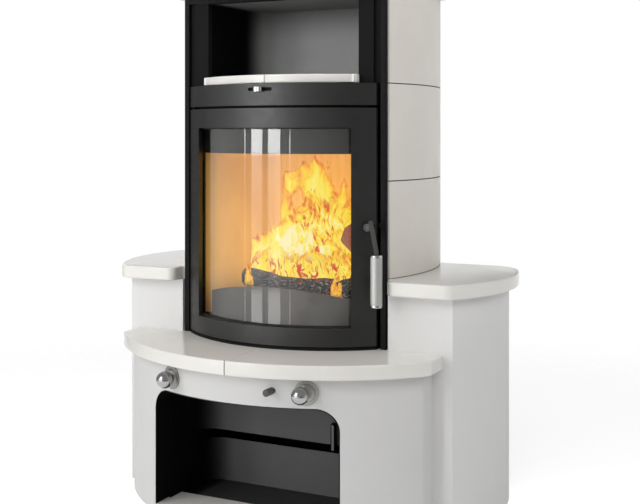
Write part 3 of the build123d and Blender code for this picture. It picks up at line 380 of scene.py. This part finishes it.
def charred_wood(name, char_colour, ash_colour, painted_firelight_colour):
    """Charred log: dark blocks flecked with pale ash, and embers glowing in the cracks; its emission also
    paints light on the ash flecks and firelight on the wood.
    """
    finish = Finish(name, roughness=0.85, specular_ior_level=0.3, emission_strength=1.6)
    tree = finish.tree
    stretched = finish.add("VectorMath", {"operation": "MULTIPLY"}, {0: finish.place, 1: (0.45, 1.0, 1.0)})
    cells = finish.add("TexVoronoi", {"feature": "DISTANCE_TO_EDGE"},
                       {"Vector": stretched.outputs["Vector"], "Scale": 85.0, "Randomness": 0.9})
    speckle = finish.add("TexNoise", None, {"Vector": stretched.outputs["Vector"], "Scale": 330.0,
                                            "Detail": 3.0, "Roughness": 0.7})
    drift = finish.add("TexNoise", None, {"Vector": finish.place, "Scale": 35.0, "Detail": 2.0})
    ash = math_node(tree, "MULTIPLY", map_range(tree, speckle.outputs["Fac"], 0.54, 0.64),
                    map_range(tree, drift.outputs["Fac"], 0.42, 0.60, 0.55, 1.0))
    char = mix_colour(tree, ash, char_colour, ash_colour)
    crack = map_range(tree, cells.outputs["Distance"], 0.06, 0.0)
    finish.feed("Base Color", mix_colour(tree, crack, char, (0.003, 0.002, 0.002, 1)))
    near = finish.group("near_fire", {"Heart": EMBER_HEART, "Reach": 0.12})
    patch = finish.add("TexNoise", None, {"Vector": finish.place, "Scale": 40.0, "Detail": 2.0})
    hot = math_node(tree, "MULTIPLY", near.outputs["Mask"],
                    map_range(tree, patch.outputs["Fac"], 0.56, 0.72))
    ember = math_node(tree, "MULTIPLY", hot, map_range(tree, cells.outputs["Distance"], 0.16, 0.02))
    # painted light: pale emission on the ash flecks, and painted firelight on the rest of the wood
    painted_light_on_wood = mix_colour(tree, ash, painted_firelight_colour, (0.085, 0.078, 0.076, 1))
    finish.feed("Emission Color", mix_colour(tree, ember, painted_light_on_wood, (0.9, 0.09, 0.01, 1)))
    height = math_node(tree, "ADD", math_node(tree, "MULTIPLY", cells.outputs["Distance"], 1.6),
                       speckle.outputs["Fac"])
    finish.bump(height, strength=1.0, depth=3 * MM)
    return finish.material


def clear_pane():
    """Heat-proof glass; shadow rays pass it so that the room lights the firebox."""
    finish = Finish("clear_pane", transmission_weight=1.0, roughness=0.0, ior=1.48,
                    base_color=(0.97, 0.965, 0.95, 1))
    clear = finish.add("BsdfTransparent", None, {"Color": (0.93, 0.92, 0.90, 1)})
    path = finish.add("LightPath")
    through = math_node(finish.tree, "MAXIMUM", path.outputs["Is Shadow Ray"], path.outputs["Is Diffuse Ray"])
    blend = finish.add("MixShader", None, {0: through})
    finish.tree.links.new(finish.shader.outputs[0], blend.inputs[1])
    finish.tree.links.new(clear.outputs[0], blend.inputs[2])
    finish.tree.links.new(blend.outputs[0], finish.output.inputs["Surface"])
    return finish.material


def woven_seal():
    """Black glass-fibre tape and rope."""
    finish = Finish("woven_seal", roughness=0.9)
    weave = finish.add("TexChecker", None, {"Vector": finish.place, "Scale": 500.0,
                                            "Color1": grey(0.035), "Color2": grey(0.015)})
    finish.feed("Base Color", weave.outputs["Color"])
    finish.bump(weave.outputs["Fac"], strength=0.6, depth=0.3 * MM)
    return finish.material


def polished_metal(name, level):
    """Chrome of the knobs and ferrules, or the darker steel of the peg."""
    finish = Finish(name, metallic=1.0, base_color=grey(level))
    grain = finish.group("grain", {"Scale": 120.0, "Broad Share": 0.7})
    finish.feed("Roughness", finish.spread(grain.outputs["Broad"], 0.05, 0.10))
    return finish.material


def satin_metal(name, level, roughness, tint=(1.0, 1.0, 1.0)):
    """Brushed steel of the grip, the rosettes and the pins."""
    finish = Finish(name, metallic=1.0)
    lines = finish.group("drawn_lines", {"Stretch": (1.0, 1.0, 30.0), "Scale": 90.0})
    light = tuple(level * t * 1.05 for t in tint) + (1,)
    dark = tuple(level * t * 0.93 for t in tint) + (1,)
    finish.feed("Base Color", mix_colour(finish.tree, lines.outputs["Height"], dark, light))
    finish.feed("Roughness", finish.spread(lines.outputs["Height"], roughness - 0.05, roughness + 0.05))
    finish.bump(lines.outputs["Height"], strength=0.06, depth=0.1 * MM)
    return finish.material


FINISHES = {
    "slab_glaze": slab_glaze(),
    "bench_plaster": matt_plaster("bench_plaster", 0.77),
    "apron_plaster": matt_plaster("apron_plaster", 0.675),
    "tile_glaze": tile_glaze(),
    "frame_paint": black_paint("frame_paint", 0.005, 0.62, gloss=0.13),
    "door_paint": black_paint("door_paint", 0.011, 0.40, gloss=0.55),
    # painted light: the arm's black is set far lighter than the frame's so that the arm shows up
    "lightened_arm_paint": black_paint("lightened_arm_paint", 0.062, 0.45),
    # The inner sheets darken at their sides, and the niche also at its top, by painted shade.
    "bin_shell": lining_enamel("bin_shell", 0.045, 170 * MM, 200 * MM),
    "inner_paint": black_paint("inner_paint", 0.006, 0.60, gloss=0.15),
    "niche_enamel": lining_enamel("niche_enamel", 0.37, 166 * MM, 199 * MM, -34 * MM,
                                  niche_high.z + 70 * MM, niche_high.z - 90 * MM),
    "bin_enamel": lining_enamel("bin_enamel", 0.15, 150 * MM, 226 * MM),
    "zinc_sheet": zinc_sheet(),
    "cast_iron": cast_iron("cast_iron", 0.045, 0.3),
    "guard_iron": cast_iron("guard_iron", 0.06, 0.02),
    "fire_brick": fire_brick(),
    "charred_wood": charred_wood("charred_wood", (0.012, 0.011, 0.012, 1), (0.42, 0.40, 0.385, 1),
                                 (0, 0, 0, 1)),
    # the scorched log carries painted firelight; the charred logs carry none
    "scorched_wood": charred_wood("scorched_wood", (0.10, 0.035, 0.02, 1), (0.20, 0.09, 0.05, 1),
                                  (0.16, 0.045, 0.02, 1)),
    "clear_pane": clear_pane(),
    "woven_seal": woven_seal(),
    "polished_metal": polished_metal("polished_metal", 0.50),
    # painted shade: the knobs' chrome is set darker than the ferrules' so that its reflections come out dark
    "darkened_knob_chrome": polished_metal("darkened_knob_chrome", 0.34),
    "dark_steel": polished_metal("dark_steel", 0.07),
    "grip_steel": satin_metal("grip_steel", 0.52, 0.58, tint=(0.98, 1.0, 0.97)),
    "plate_steel": satin_metal("plate_steel", 0.33, 0.60, tint=(1.02, 1.0, 0.95)),
    "pin_steel": satin_metal("pin_steel", 0.40, 0.35),
}

NODE_FINISH = {
    "slab_glaze": ["bench_slab_left", "bench_slab_right", "hearth_slab_left", "hearth_slab_right",
                   "niche_plate_left", "niche_plate_right", "top_slab", "base_slab"],
    "bench_plaster": ["bench_body_left", "bench_body_right"],
    "apron_plaster": ["apron"],
    "tile_glaze": [f"tile_{row}_{side}" for row in ("lower", "middle", "upper")
                   for side in ("left", "right")],
    "frame_paint": ["front_frame", "base_trim", "latch_keeper", "flue_spigot", "hinge_pins", "glass_clips"],
    "lightened_arm_paint": ["handle_arm", "handle_spindle", "riddle_pull"],
    "door_paint": ["door_frame", "control_panel"],
    "bin_shell": ["bin_carcass"],
    "inner_paint": ["lining_floor", "rear_panel", "firebox_shell", "smoke_duct", "slider_bar"],
    "niche_enamel": ["niche_liner"],
    "bin_enamel": ["bin_back_upper", "bin_back_lower"],
    "zinc_sheet": ["side_casings", "air_box", "ash_pan", "air_spigot"],
    "cast_iron": ["grate_frame", "riddling_grate"],
    "guard_iron": ["log_guard"],
    "fire_brick": ["lining_left", "lining_right", "lining_rear", "baffle_plate"],
    "charred_wood": ["logs"],
    "clear_pane": ["door_glass"],
    "woven_seal": ["door_seals"],
    "polished_metal": ["slider_knob", "grip_ferrules"],
    "darkened_knob_chrome": ["air_pull_left", "air_pull_right"],
    "dark_steel": ["bin_peg"],
    "grip_steel": ["handle_grip"],
    "plate_steel": ["rosettes"],
    "pin_steel": ["levelling_feet", "latch_tongue"],
}


def split_edges(piece, angle):
    """Smooth shading only across edges that turn less than the angle, in degrees."""
    split = piece.modifiers.new("split", "EDGE_SPLIT")
    split.split_angle = math.radians(angle)


def dress(node_name, finish_name):
    """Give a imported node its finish, with smooth shading across its small facets only."""
    piece = nodes[node_name]
    piece.data.materials.clear()
    piece.data.materials.append(FINISHES[finish_name])
    piece.data.shade_smooth()
    weld = piece.modifiers.new("weld", "WELD")
    weld.merge_threshold = WELD_DISTANCE
    split_edges(piece, PART_CREASE)


for finish_name, members in NODE_FINISH.items():
    for member in members:
        dress(member, finish_name)


# ---------------------------------------------------------------- mesh helpers
def add_object(name, data):
    """A new object of the scene, at the origin."""
    item = bpy.data.objects.new(name, data)
    bpy.context.scene.collection.objects.link(item)
    return item


def mesh_object(name, bm, material):
    """Turn a bmesh into an object of one material, and free the bmesh."""
    mesh = bpy.data.meshes.new(name)
    bm.to_mesh(mesh)
    bm.free()
    mesh.materials.append(material)
    return add_object(name, mesh)


def finish_mesh(name, bm, finish_name, body):
    """Turn a bmesh into a smooth piece that wears a finish and rides on a body."""
    piece = mesh_object(name, bm, FINISHES[finish_name])
    piece.data.shade_smooth()
    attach(piece, body)
    return piece


def fix_order(bm):
    """Order a bmesh by place: extrusions and bevels make its faces in an order that changes each run."""
    middles = [(bm.verts, lambda v: v.co[:]),
               (bm.edges, lambda e: (e.verts[0].co + e.verts[1].co)[:]),
               (bm.faces, lambda f: f.calc_center_median()[:])]
    for items, middle in middles:
        for index, item in enumerate(sorted(items, key=middle)):
            item.index = index
        items.sort()


def curved_strip(r_outer, r_inner, half_width, z_low, z_high, steps, bevel):
    """A bmesh strip between two radii about the bulge axis, with straight ends and bevelled edges."""
    half_angle = math.asin(half_width / r_outer)
    bm = bmesh.new()
    corners = [(r_outer, z_low), (r_inner, z_low), (r_inner, z_high), (r_outer, z_high)]
    verts = [bm.verts.new((0, BULGE_AXIS.y - r, z)) for r, z in corners]
    face = bm.faces.new(verts)
    bmesh.ops.rotate(bm, verts=verts, cent=BULGE_AXIS, matrix=Matrix.Rotation(-half_angle, 3, "Z"))
    bmesh.ops.spin(bm, geom=[face, *face.edges, *face.verts], cent=BULGE_AXIS, axis=(0, 0, 1),
                   angle=2 * half_angle, steps=steps, use_duplicate=False)
    bmesh.ops.remove_doubles(bm, verts=bm.verts, dist=1e-7)
    bmesh.ops.holes_fill(bm, edges=bm.edges, sides=4)
    bmesh.ops.recalc_face_normals(bm, faces=bm.faces)
    sharp = [e for e in bm.edges if e.calc_face_angle(0) > math.radians(BEVEL_CREASE)]
    bmesh.ops.bevel(bm, geom=sharp, offset=bevel, segments=2, profile=0.5, affect="EDGES", material=-1)
    fix_order(bm)
    return bm


# ---------------------------------------------------------------- the pane
PANE_THICKNESS = 4 * MM


def pane():
    """Bent glass pane with ground edges, in place of its plain solid."""
    r_outer = BULGE_AXIS.y - glass_low.y
    bm = curved_strip(r_outer, r_outer - PANE_THICKNESS, glass_high.x, glass_low.z, glass_high.z,
                      steps=96, bevel=0.6 * MM)
    piece = finish_mesh("pane", bm, "clear_pane", "door")
    split_edges(piece, PANE_CREASE)
    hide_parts("door_glass")


pane()


# ---------------------------------------------------------------- logs
LOG_RINGS = 44
LOG_NOISE_PITCH = 28
LOG_SWELLS = [(0.35, 0.10), (1.0, 0.07), (2.6, 0.05)]  # pitch and share of the radius of each unevenness


def rough_log(name, start, end, radius, seed, sag=0.0, finish_name="charred_wood", segments=40):
    """A split log from start to end: an uneven rod whose bark has burnt to blocks; sag thins its middle."""
    axis = Vector(end) - Vector(start)
    bm = bmesh.new()
    bmesh.ops.create_circle(bm, cap_ends=False, radius=radius, segments=segments)
    edges = bm.edges[:]
    for _ in range(LOG_RINGS):
        made = bmesh.ops.extrude_edge_only(bm, edges=edges)["geom"]
        verts = [g for g in made if isinstance(g, bmesh.types.BMVert)]
        edges = [g for g in made if isinstance(g, bmesh.types.BMEdge)]
        bmesh.ops.translate(bm, verts=verts, vec=(0, 0, axis.length / LOG_RINGS))
    boundary = [e for e in bm.edges if e.is_boundary]
    caps = bmesh.ops.holes_fill(bm, edges=boundary, sides=segments)["faces"]
    bmesh.ops.inset_region(bm, faces=caps, thickness=radius * 0.3, depth=-radius * 0.05)
    for vert in bm.verts:
        along = vert.co.z / axis.length
        outward = Vector((vert.co.x, vert.co.y, 0))
        if outward.length < 1e-6:
            continue
        stretched = Vector((vert.co.x, vert.co.y, vert.co.z * 0.5))
        point = stretched * LOG_NOISE_PITCH + Vector((seed, seed, seed))
        swell = sum(share * noise.noise(point * pitch) for pitch, share in LOG_SWELLS)
        taper = 1 - 0.10 * abs(2 * along - 1) ** 3 - 0.20 * abs(2 * along - 1) ** 14
        vert.co += outward * (swell + taper - 1)
        vert.co.z += 0.006 * noise.noise(point * 0.7) * (1 if 0.03 < along < 0.97 else 0.6)
    turn = axis.to_track_quat("Z", "Y").to_matrix().to_4x4()
    bmesh.ops.transform(bm, matrix=Matrix.Translation(start) @ turn, verts=bm.verts)
    for vert in bm.verts:
        along = min(1, max(0, (vert.co - Vector(start)).dot(axis) / axis.length_squared))
        thin = sag * min(1, along / 0.4) * min(1, (1 - along) / 0.3)
        middle_z = start[2] + along * axis.z
        vert.co.z -= thin / 2 + (vert.co.z - middle_z) * thin / (2 * radius)
    bmesh.ops.recalc_face_normals(bm, faces=bm.faces)
    fix_order(bm)
    piece = finish_mesh(name, bm, finish_name, "stove")
    return piece


def log_pile():
    """The burning logs, each along the axis of its plain solid, and one that leans at the back."""
    rear, cross = log_low.z + 35 * MM, log_low.z + 29 * MM
    stick, wedge = log_low.z + 24.5 * MM, log_low.z + 20 * MM
    front = rough_log("log_front", (-130 * MM, 9 * MM, 521 * MM), (117 * MM, -5 * MM, 512 * MM), 27.5 * MM, 3,
                      sag=15 * MM)
    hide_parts("logs")
    rough_log("log_rear", (-160 * MM, 110 * MM, rear), (115 * MM, 106 * MM, rear), 34 * MM, 11)
    rough_log("log_cross", (-95 * MM, -42 * MM, cross), (-95 * MM, 62 * MM, cross), 28 * MM, 23)
    rough_log("log_stick", (100 * MM, -42 * MM, stick), (100 * MM, 62 * MM, stick), 23 * MM, 31)
    rough_log("log_right", (150 * MM, -38 * MM, 507 * MM), (158 * MM, 107 * MM, 507 * MM), 29 * MM, 41)
    rough_log("log_wedge", (126 * MM, 22 * MM, wedge), (185 * MM, 22 * MM, wedge), 19 * MM, 47)
    rough_log("log_leaning", (127 * MM, 62 * MM, 640 * MM), (172 * MM, 172 * MM, 556 * MM), 36 * MM, 53,
              finish_name="scorched_wood", segments=5)


log_pile()


# ---------------------------------------------------------------- fire
FLAME_FOOT = 22 * MM                           # how far a flame reaches below its base line
FLAME_HEADROOM = 25 * MM                       # how far its sheet rises over the outline
# Outlines of the flames: places across and heights, in millimetres.
PLUME = [(-150, 560), (-112, 590), (-98, 640), (-92, 752), (-73, 785), (-57, 775), (-41, 772), (-30, 803),
         (-13, 820), (0, 826), (14, 816), (34, 803), (50, 772), (64, 752), (79, 737), (99, 722), (150, 650),
         (186, 540)]
MIDDLE = [(-160, 520), (-152, 592), (-140, 612), (-118, 634), (-95, 650), (-80, 668), (-60, 688), (-30, 705),
          (0, 718), (30, 724), (60, 722), (90, 712), (120, 685), (160, 625), (186, 540)]
FRONT = [(-158, 500), (-152, 560), (-146, 610), (-132, 628), (-108, 640), (-75, 652), (-45, 668), (-10, 672),
         (30, 655), (62, 636), (85, 612), (110, 600), (140, 590), (165, 570), (186, 520)]
LOW = [(-150, 500), (-140, 560), (-125, 592), (-95, 604), (-60, 606), (-25, 592), (10, 592), (45, 600),
       (75, 586), (105, 596), (130, 578), (160, 555), (186, 510)]
LEFT_TONGUE = [(-114, 500), (-110, 545), (-105, 562), (-100, 568), (-95, 560), (-90, 545), (-84, 500)]
JOINT_TONGUE = [(126, 486), (131, 534), (136, 550), (141, 553), (147, 545), (152, 530), (158, 486)]
STREAKS, STREAKS_REACH = Vector((25 * MM, 90 * MM, 628 * MM)), 0.11  # where the flames are streaked with red
PALE_HEART, PALE_REACH = Vector((-38 * MM, 80 * MM, 602 * MM)), 0.085
HOLLOW, HOLLOW_REACH = Vector((-50 * MM, 140 * MM, 702 * MM)), 0.055
RED_NONE_Z, RED_FULL_Z = 588 * MM, 548 * MM    # between these heights the red tongues set in
FLAME_COLOURS = [(0.05, (0.66, 0.10, 0.01, 1)), (0.17, (0.96, 0.33, 0.02, 1)), (0.30, (1.0, 0.56, 0.03, 1)),
                 (0.44, (1.0, 0.74, 0.04, 1)), (0.70, (1.0, 0.83, 0.12, 1)), (1.0, (1.0, 0.90, 0.48, 1))]


def flame_finish(name, seed, outline, base_z, fray, heat, red, scale, ragged, veined):
    """Flames on an upright sheet: licking shapes under an outline, from pale yellow to red.

    The top frays out over fray millimetres; heat pales the colours, red is the share of red tongues
    low down, scale is that of the licks, ragged their depth and veined the depth of the veins.
    """
    finish = Finish(name, base_color=(0, 0, 0, 1), roughness=1.0, specular_ior_level=0.0,
                    emission_strength=1.0)
    tree = finish.tree
    left, right = outline[0][0] * MM, outline[-1][0] * MM
    top = max(z for x, z in outline) * MM
    shifted = finish.add("VectorMath", {"operation": "ADD"},
                         {0: finish.place, 1: (seed, seed * 2.0, seed * 3.0)})
    warp = finish.add("TexNoise", None, {"Vector": shifted.outputs["Vector"], "Scale": 11.0, "Detail": 2.0})
    centred = finish.add("VectorMath", {"operation": "SUBTRACT"},
                         {0: warp.outputs["Color"], 1: (0.5, 0.5, 0.5)})
    push = finish.add("VectorMath", {"operation": "SCALE"}, {0: centred.outputs["Vector"], "Scale": 0.09})
    warped = finish.add("VectorMath", {"operation": "ADD"},
                        {0: shifted.outputs["Vector"], 1: push.outputs["Vector"]})
    squeezed = finish.add("VectorMath", {"operation": "MULTIPLY"},
                          {0: warped.outputs["Vector"], 1: (1.0, 1.0, 0.40)})
    lick = finish.add("TexNoise", None, {"Vector": squeezed.outputs["Vector"], "Scale": scale, "Detail": 5.0,
                                         "Roughness": 0.62})
    streak = finish.add("TexNoise", None, {"Vector": squeezed.outputs["Vector"], "Scale": scale * 2.1,
                                           "Detail": 3.0, "Roughness": 0.6, "Distortion": 0.5})
    split = finish.add("SeparateXYZ", None, {"Vector": finish.place})
    across = map_range(tree, split.outputs["X"], left, right, smooth=False)
    height = finish.add("FloatCurve", None, {"Value": across})
    curve = height.mapping.curves[0]
    shape = [((x * MM - left) / (right - left), (z * MM - base_z) / (top - base_z)) for x, z in outline]
    curve.points[0].location, curve.points[1].location = shape[0], shape[-1]
    for point in shape[1:-1]:
        curve.points.new(*point)
    height.mapping.update()
    above = math_node(tree, "SUBTRACT", split.outputs["Z"], base_z)
    tall = math_node(tree, "MULTIPLY", height.outputs["Value"], top - base_z)
    room = math_node(tree, "DIVIDE", math_node(tree, "SUBTRACT", tall, above), fray * MM)
    inside = math_node(tree, "MINIMUM", room, 1.0)
    licks = math_node(tree, "MULTIPLY", math_node(tree, "SUBTRACT", lick.outputs["Fac"], 0.5), ragged)
    licked = math_node(tree, "ADD", inside, licks)
    hollow = finish.group("near_fire", {"Heart": HOLLOW, "Reach": HOLLOW_REACH})
    licked = math_node(tree, "SUBTRACT", licked, hollow.outputs["Mask"])
    body = map_range(tree, licked, 0.12, 0.46)
    foot = map_range(tree, above, -FLAME_FOOT, 0.0)
    finish.feed("Alpha", math_node(tree, "MULTIPLY", body, foot))
    streaked = finish.group("near_fire", {"Heart": STREAKS, "Reach": STREAKS_REACH})
    pale = finish.group("near_fire", {"Heart": PALE_HEART, "Reach": PALE_REACH})
    contrast = math_node(tree, "ADD", math_node(tree, "MULTIPLY", streaked.outputs["Mask"], 2.4), veined)
    veining = math_node(tree, "MULTIPLY", math_node(tree, "SUBTRACT", streak.outputs["Fac"], 0.5), contrast)
    warmth = math_node(tree, "ADD", math_node(tree, "MULTIPLY", licked, heat),
                       math_node(tree, "MULTIPLY", pale.outputs["Mask"], 0.34))
    ramp = finish.add("ValToRGB", None, {"Fac": math_node(tree, "ADD", warmth, veining)})
    fill_ramp(ramp, FLAME_COLOURS)
    low_red = map_range(tree, split.outputs["Z"], RED_NONE_Z, RED_FULL_Z)
    tongues = map_range(tree, streak.outputs["Fac"], 0.515, 0.58)
    glow = math_node(tree, "MULTIPLY", math_node(tree, "MULTIPLY", low_red, tongues), red)
    finish.feed("Emission Color", mix_colour(tree, glow, ramp.outputs["Color"], (0.66, 0.06, 0.012, 1)))
    return finish.material


def flame_sheet(name, y, outline, base_z, fray, heat, red, seed, scale=34.0, ragged=2.6, veined=1.5):
    """One upright, gently waved sheet of flames."""
    FINISHES[name] = flame_finish(name, seed, outline, base_z, fray, heat, red, scale, ragged, veined)
    left, right = outline[0][0] * MM, outline[-1][0] * MM
    height = max(z for x, z in outline) * MM - base_z + FLAME_FOOT + FLAME_HEADROOM
    steps = max(6, round((right - left) / (9 * MM)))
    bm = bmesh.new()
    bmesh.ops.create_grid(bm, x_segments=steps, y_segments=26, size=0.5)
    upright = Matrix.Rotation(math.radians(90), 4, "X")
    stretch = Matrix.Diagonal((right - left, height, 1, 1))
    place = Matrix.Translation(((left + right) / 2, y, base_z - FLAME_FOOT + height / 2))
    bmesh.ops.transform(bm, matrix=place @ upright @ stretch, verts=bm.verts)
    for vert in bm.verts:
        rise = (vert.co.z - base_z) / height
        wave = 7 * MM * math.sin(vert.co.x * 32 + seed)
        sway = 9 * MM * rise * math.sin(vert.co.x * 17 + 2 * seed)
        vert.co.y += wave + sway
    finish_mesh(name, bm, name, "stove")


flame_sheet("flames_plume", 135 * MM, PLUME, FIRE_BASE_Z, fray=85, heat=0.50, red=0.0, seed=0.0,
            scale=27.0, ragged=3.2, veined=0.9)
flame_sheet("flames_middle", 108 * MM, MIDDLE, FIRE_BASE_Z, fray=60, heat=0.56, red=0.4, seed=1.7)
flame_sheet("flames_front", 80 * MM, FRONT, FIRE_BASE_Z, fray=42, heat=0.62, red=0.9, seed=3.4)
flame_sheet("flames_low", 48 * MM, LOW, FIRE_BASE_Z + 20 * MM, fray=34, heat=0.58, red=1.0, seed=5.1,
            scale=44.0)
flame_sheet("flame_left", -24 * MM, LEFT_TONGUE, 522 * MM, fray=26, heat=0.40, red=0.5, seed=6.8,
            scale=120.0, ragged=4.2, veined=2.6)
flame_sheet("flame_joint", -46 * MM, JOINT_TONGUE, 508 * MM, fray=26, heat=0.30, red=0.5, seed=8.5,
            scale=120.0, ragged=5.0, veined=3.0)


# ---------------------------------------------------------------- studio
def seen_mask(tree):
    """1 where the camera sees a thing, straight, mirrored or through glass; 0 where it only sheds light."""
    path = add_node(tree, "LightPath")
    direct = math_node(tree, "MAXIMUM", path.outputs["Is Camera Ray"], path.outputs["Is Glossy Ray"])
    return math_node(tree, "MAXIMUM", direct, path.outputs["Is Transmission Ray"])


def studio_floor():
    """Pale floor that fades out into the white surroundings and keeps the stove's shadow."""
    bm = bmesh.new()
    bmesh.ops.create_circle(bm, cap_ends=True, radius=FLOOR_RADIUS, segments=96)
    finish = Finish("floor", roughness=0.9, base_color=(0.93, 0.93, 0.93, 1), emission_color=(1, 1, 1, 1))
    distance = finish.add("VectorMath", {"operation": "LENGTH"}, {0: finish.place})
    finish.feed("Alpha", map_range(finish.tree, distance.outputs["Value"], FLOOR_FADE_END, FLOOR_FADE_START))
    finish.feed("Emission Strength", math_node(finish.tree, "MULTIPLY", seen_mask(finish.tree), FLOOR_LIFT))
    floor = mesh_object("floor", bm, finish.material)


def studio_world():
    """White surroundings behind the stove, shaded walls in front of it and a darker ceiling."""
    world = bpy.data.worlds.new("studio")
    bpy.context.scene.world = world
    world.use_nodes = True
    tree = world.node_tree
    place = tree.nodes.new("ShaderNodeTexCoord").outputs["Generated"]
    split = add_node(tree, "SeparateXYZ", None, {"Vector": place})
    forward = math_node(tree, "MULTIPLY", split.outputs["Y"], -1.0)
    azimuth = math_node(tree, "ARCTAN2", split.outputs["X"], forward)
    turn = map_range(tree, azimuth, -math.pi, math.pi, smooth=False)
    walls = add_node(tree, "ValToRGB", None, {"Fac": turn})
    fill_ramp(walls, [((angle + 180) / 360, grey(level)) for angle, level in WALLS])
    ceiling = add_node(tree, "ValToRGB", None, {"Fac": turn})
    fill_ramp(ceiling, [((angle + 180) / 360, grey(level)) for angle, level in CEILING])
    above = map_range(tree, split.outputs["Z"], CEILING_START, CEILING_FULL)
    room = mix_colour(tree, above, walls.outputs["Color"], ceiling.outputs["Color"])
    path = add_node(tree, "LightPath")
    straight = math_node(tree, "MAXIMUM", path.outputs["Is Camera Ray"], path.outputs["Is Transmission Ray"])
    colour = mix_colour(tree, straight, room, grey(1.0))
    tree.links.new(colour, tree.nodes["Background"].inputs["Color"])
    matt = map_range(tree, above, 0.0, 1.0, WALLS_MATT, CEILING_MATT, smooth=False)
    strength = add_node(tree, "Mix", {"data_type": "FLOAT"}, {0: seen_mask(tree), 2: matt, 3: 1.0})
    tree.links.new(strength.outputs[0], tree.nodes["Background"].inputs["Strength"])


def light_strip(name, azimuth, width):
    """An upright strip of light whose radiance changes with height; azimuth 0 is in front."""
    z_low, z_high = STRIP_RADIANCE[0][0], STRIP_RADIANCE[-1][0]
    strongest = max(radiance for z, radiance in STRIP_RADIANCE)
    bm = bmesh.new()
    bmesh.ops.create_grid(bm, x_segments=1, y_segments=1, size=0.5)
    upright = Matrix.Rotation(math.radians(90), 4, "X")
    stretch = Matrix.Diagonal((width, z_high - z_low, 1, 1))
    place = Matrix.Translation((0, -STRIP_DISTANCE, (z_low + z_high) / 2))
    turn = Matrix.Rotation(math.radians(azimuth), 4, "Z")
    bmesh.ops.transform(bm, matrix=turn @ place @ upright @ stretch, verts=bm.verts)
    finish = Finish(name, roughness=1.0, specular_ior_level=0.0, base_color=(0, 0, 0, 1))
    split = finish.add("SeparateXYZ", None, {"Vector": finish.place})
    rise = map_range(finish.tree, split.outputs["Z"], z_low, z_high, smooth=False)
    ramp = finish.add("ValToRGB", None, {"Fac": rise})
    fill_ramp(ramp, [((z - z_low) / (z_high - z_low), grey(radiance / strongest))
                     for z, radiance in STRIP_RADIANCE])
    finish.feed("Emission Color", ramp.outputs["Color"])
    strength = map_range(finish.tree, seen_mask(finish.tree), 0.0, 1.0, STRIP_MATT * strongest, strongest)
    finish.feed("Emission Strength", strength)
    strip = mesh_object(name, bm, finish.material)
    strip.visible_camera = False


def high_light(name, azimuth, elevation, radiance):
    """A large soft lamp above the camera's level; it lights the scene but isn't mirrored in it."""
    light = bpy.data.lights.new(name, "AREA")
    light.shape = "SQUARE"
    light.size = LAMP_SIZE
    light.energy = radiance * math.pi * LAMP_SIZE ** 2
    lamp = add_object(name, light)
    side, rise = math.radians(azimuth), math.radians(elevation)
    away = Vector((math.sin(side) * math.cos(rise), -math.cos(side) * math.cos(rise), math.sin(rise)))
    lamp.location = LAMP_TARGET + LAMP_DISTANCE * away
    lamp.rotation_euler = (-away).to_track_quat("-Z", "Y").to_euler()
    lamp.visible_camera = False
    lamp.visible_glossy = False


def camera():
    """The photograph's camera: level, 26 degrees to the stove's right."""
    view = bpy.data.cameras.new("camera")
    view.lens, view.sensor_width = 60.47, 36.0
    view.shift_x, view.shift_y = 0.0022, -0.186
    eye = add_object("camera", view)
    eye.location = (1.1957, -2.2982, 0.876)
    eye.rotation_euler = (math.radians(90), 0, math.radians(26))
    bpy.context.scene.camera = eye


studio_floor()
studio_world()
light_strip("strip_left", -33.5, 0.45)
light_strip("strip_centre", -17.6, 0.47)
light_strip("strip_thin_left", -45, 0.03)
light_strip("strip_thin_right", -4, 0.03)
high_light("lamp_front", azimuth=25, elevation=33, radiance=2.0)
high_light("lamp_left", azimuth=-60, elevation=33, radiance=2.1)
high_light("lamp_right", azimuth=80, elevation=33, radiance=3.2)
high_light("lamp_over", azimuth=-10, elevation=75, radiance=0.9)
camera()
bpy.context.scene.view_settings.view_transform = "Standard"
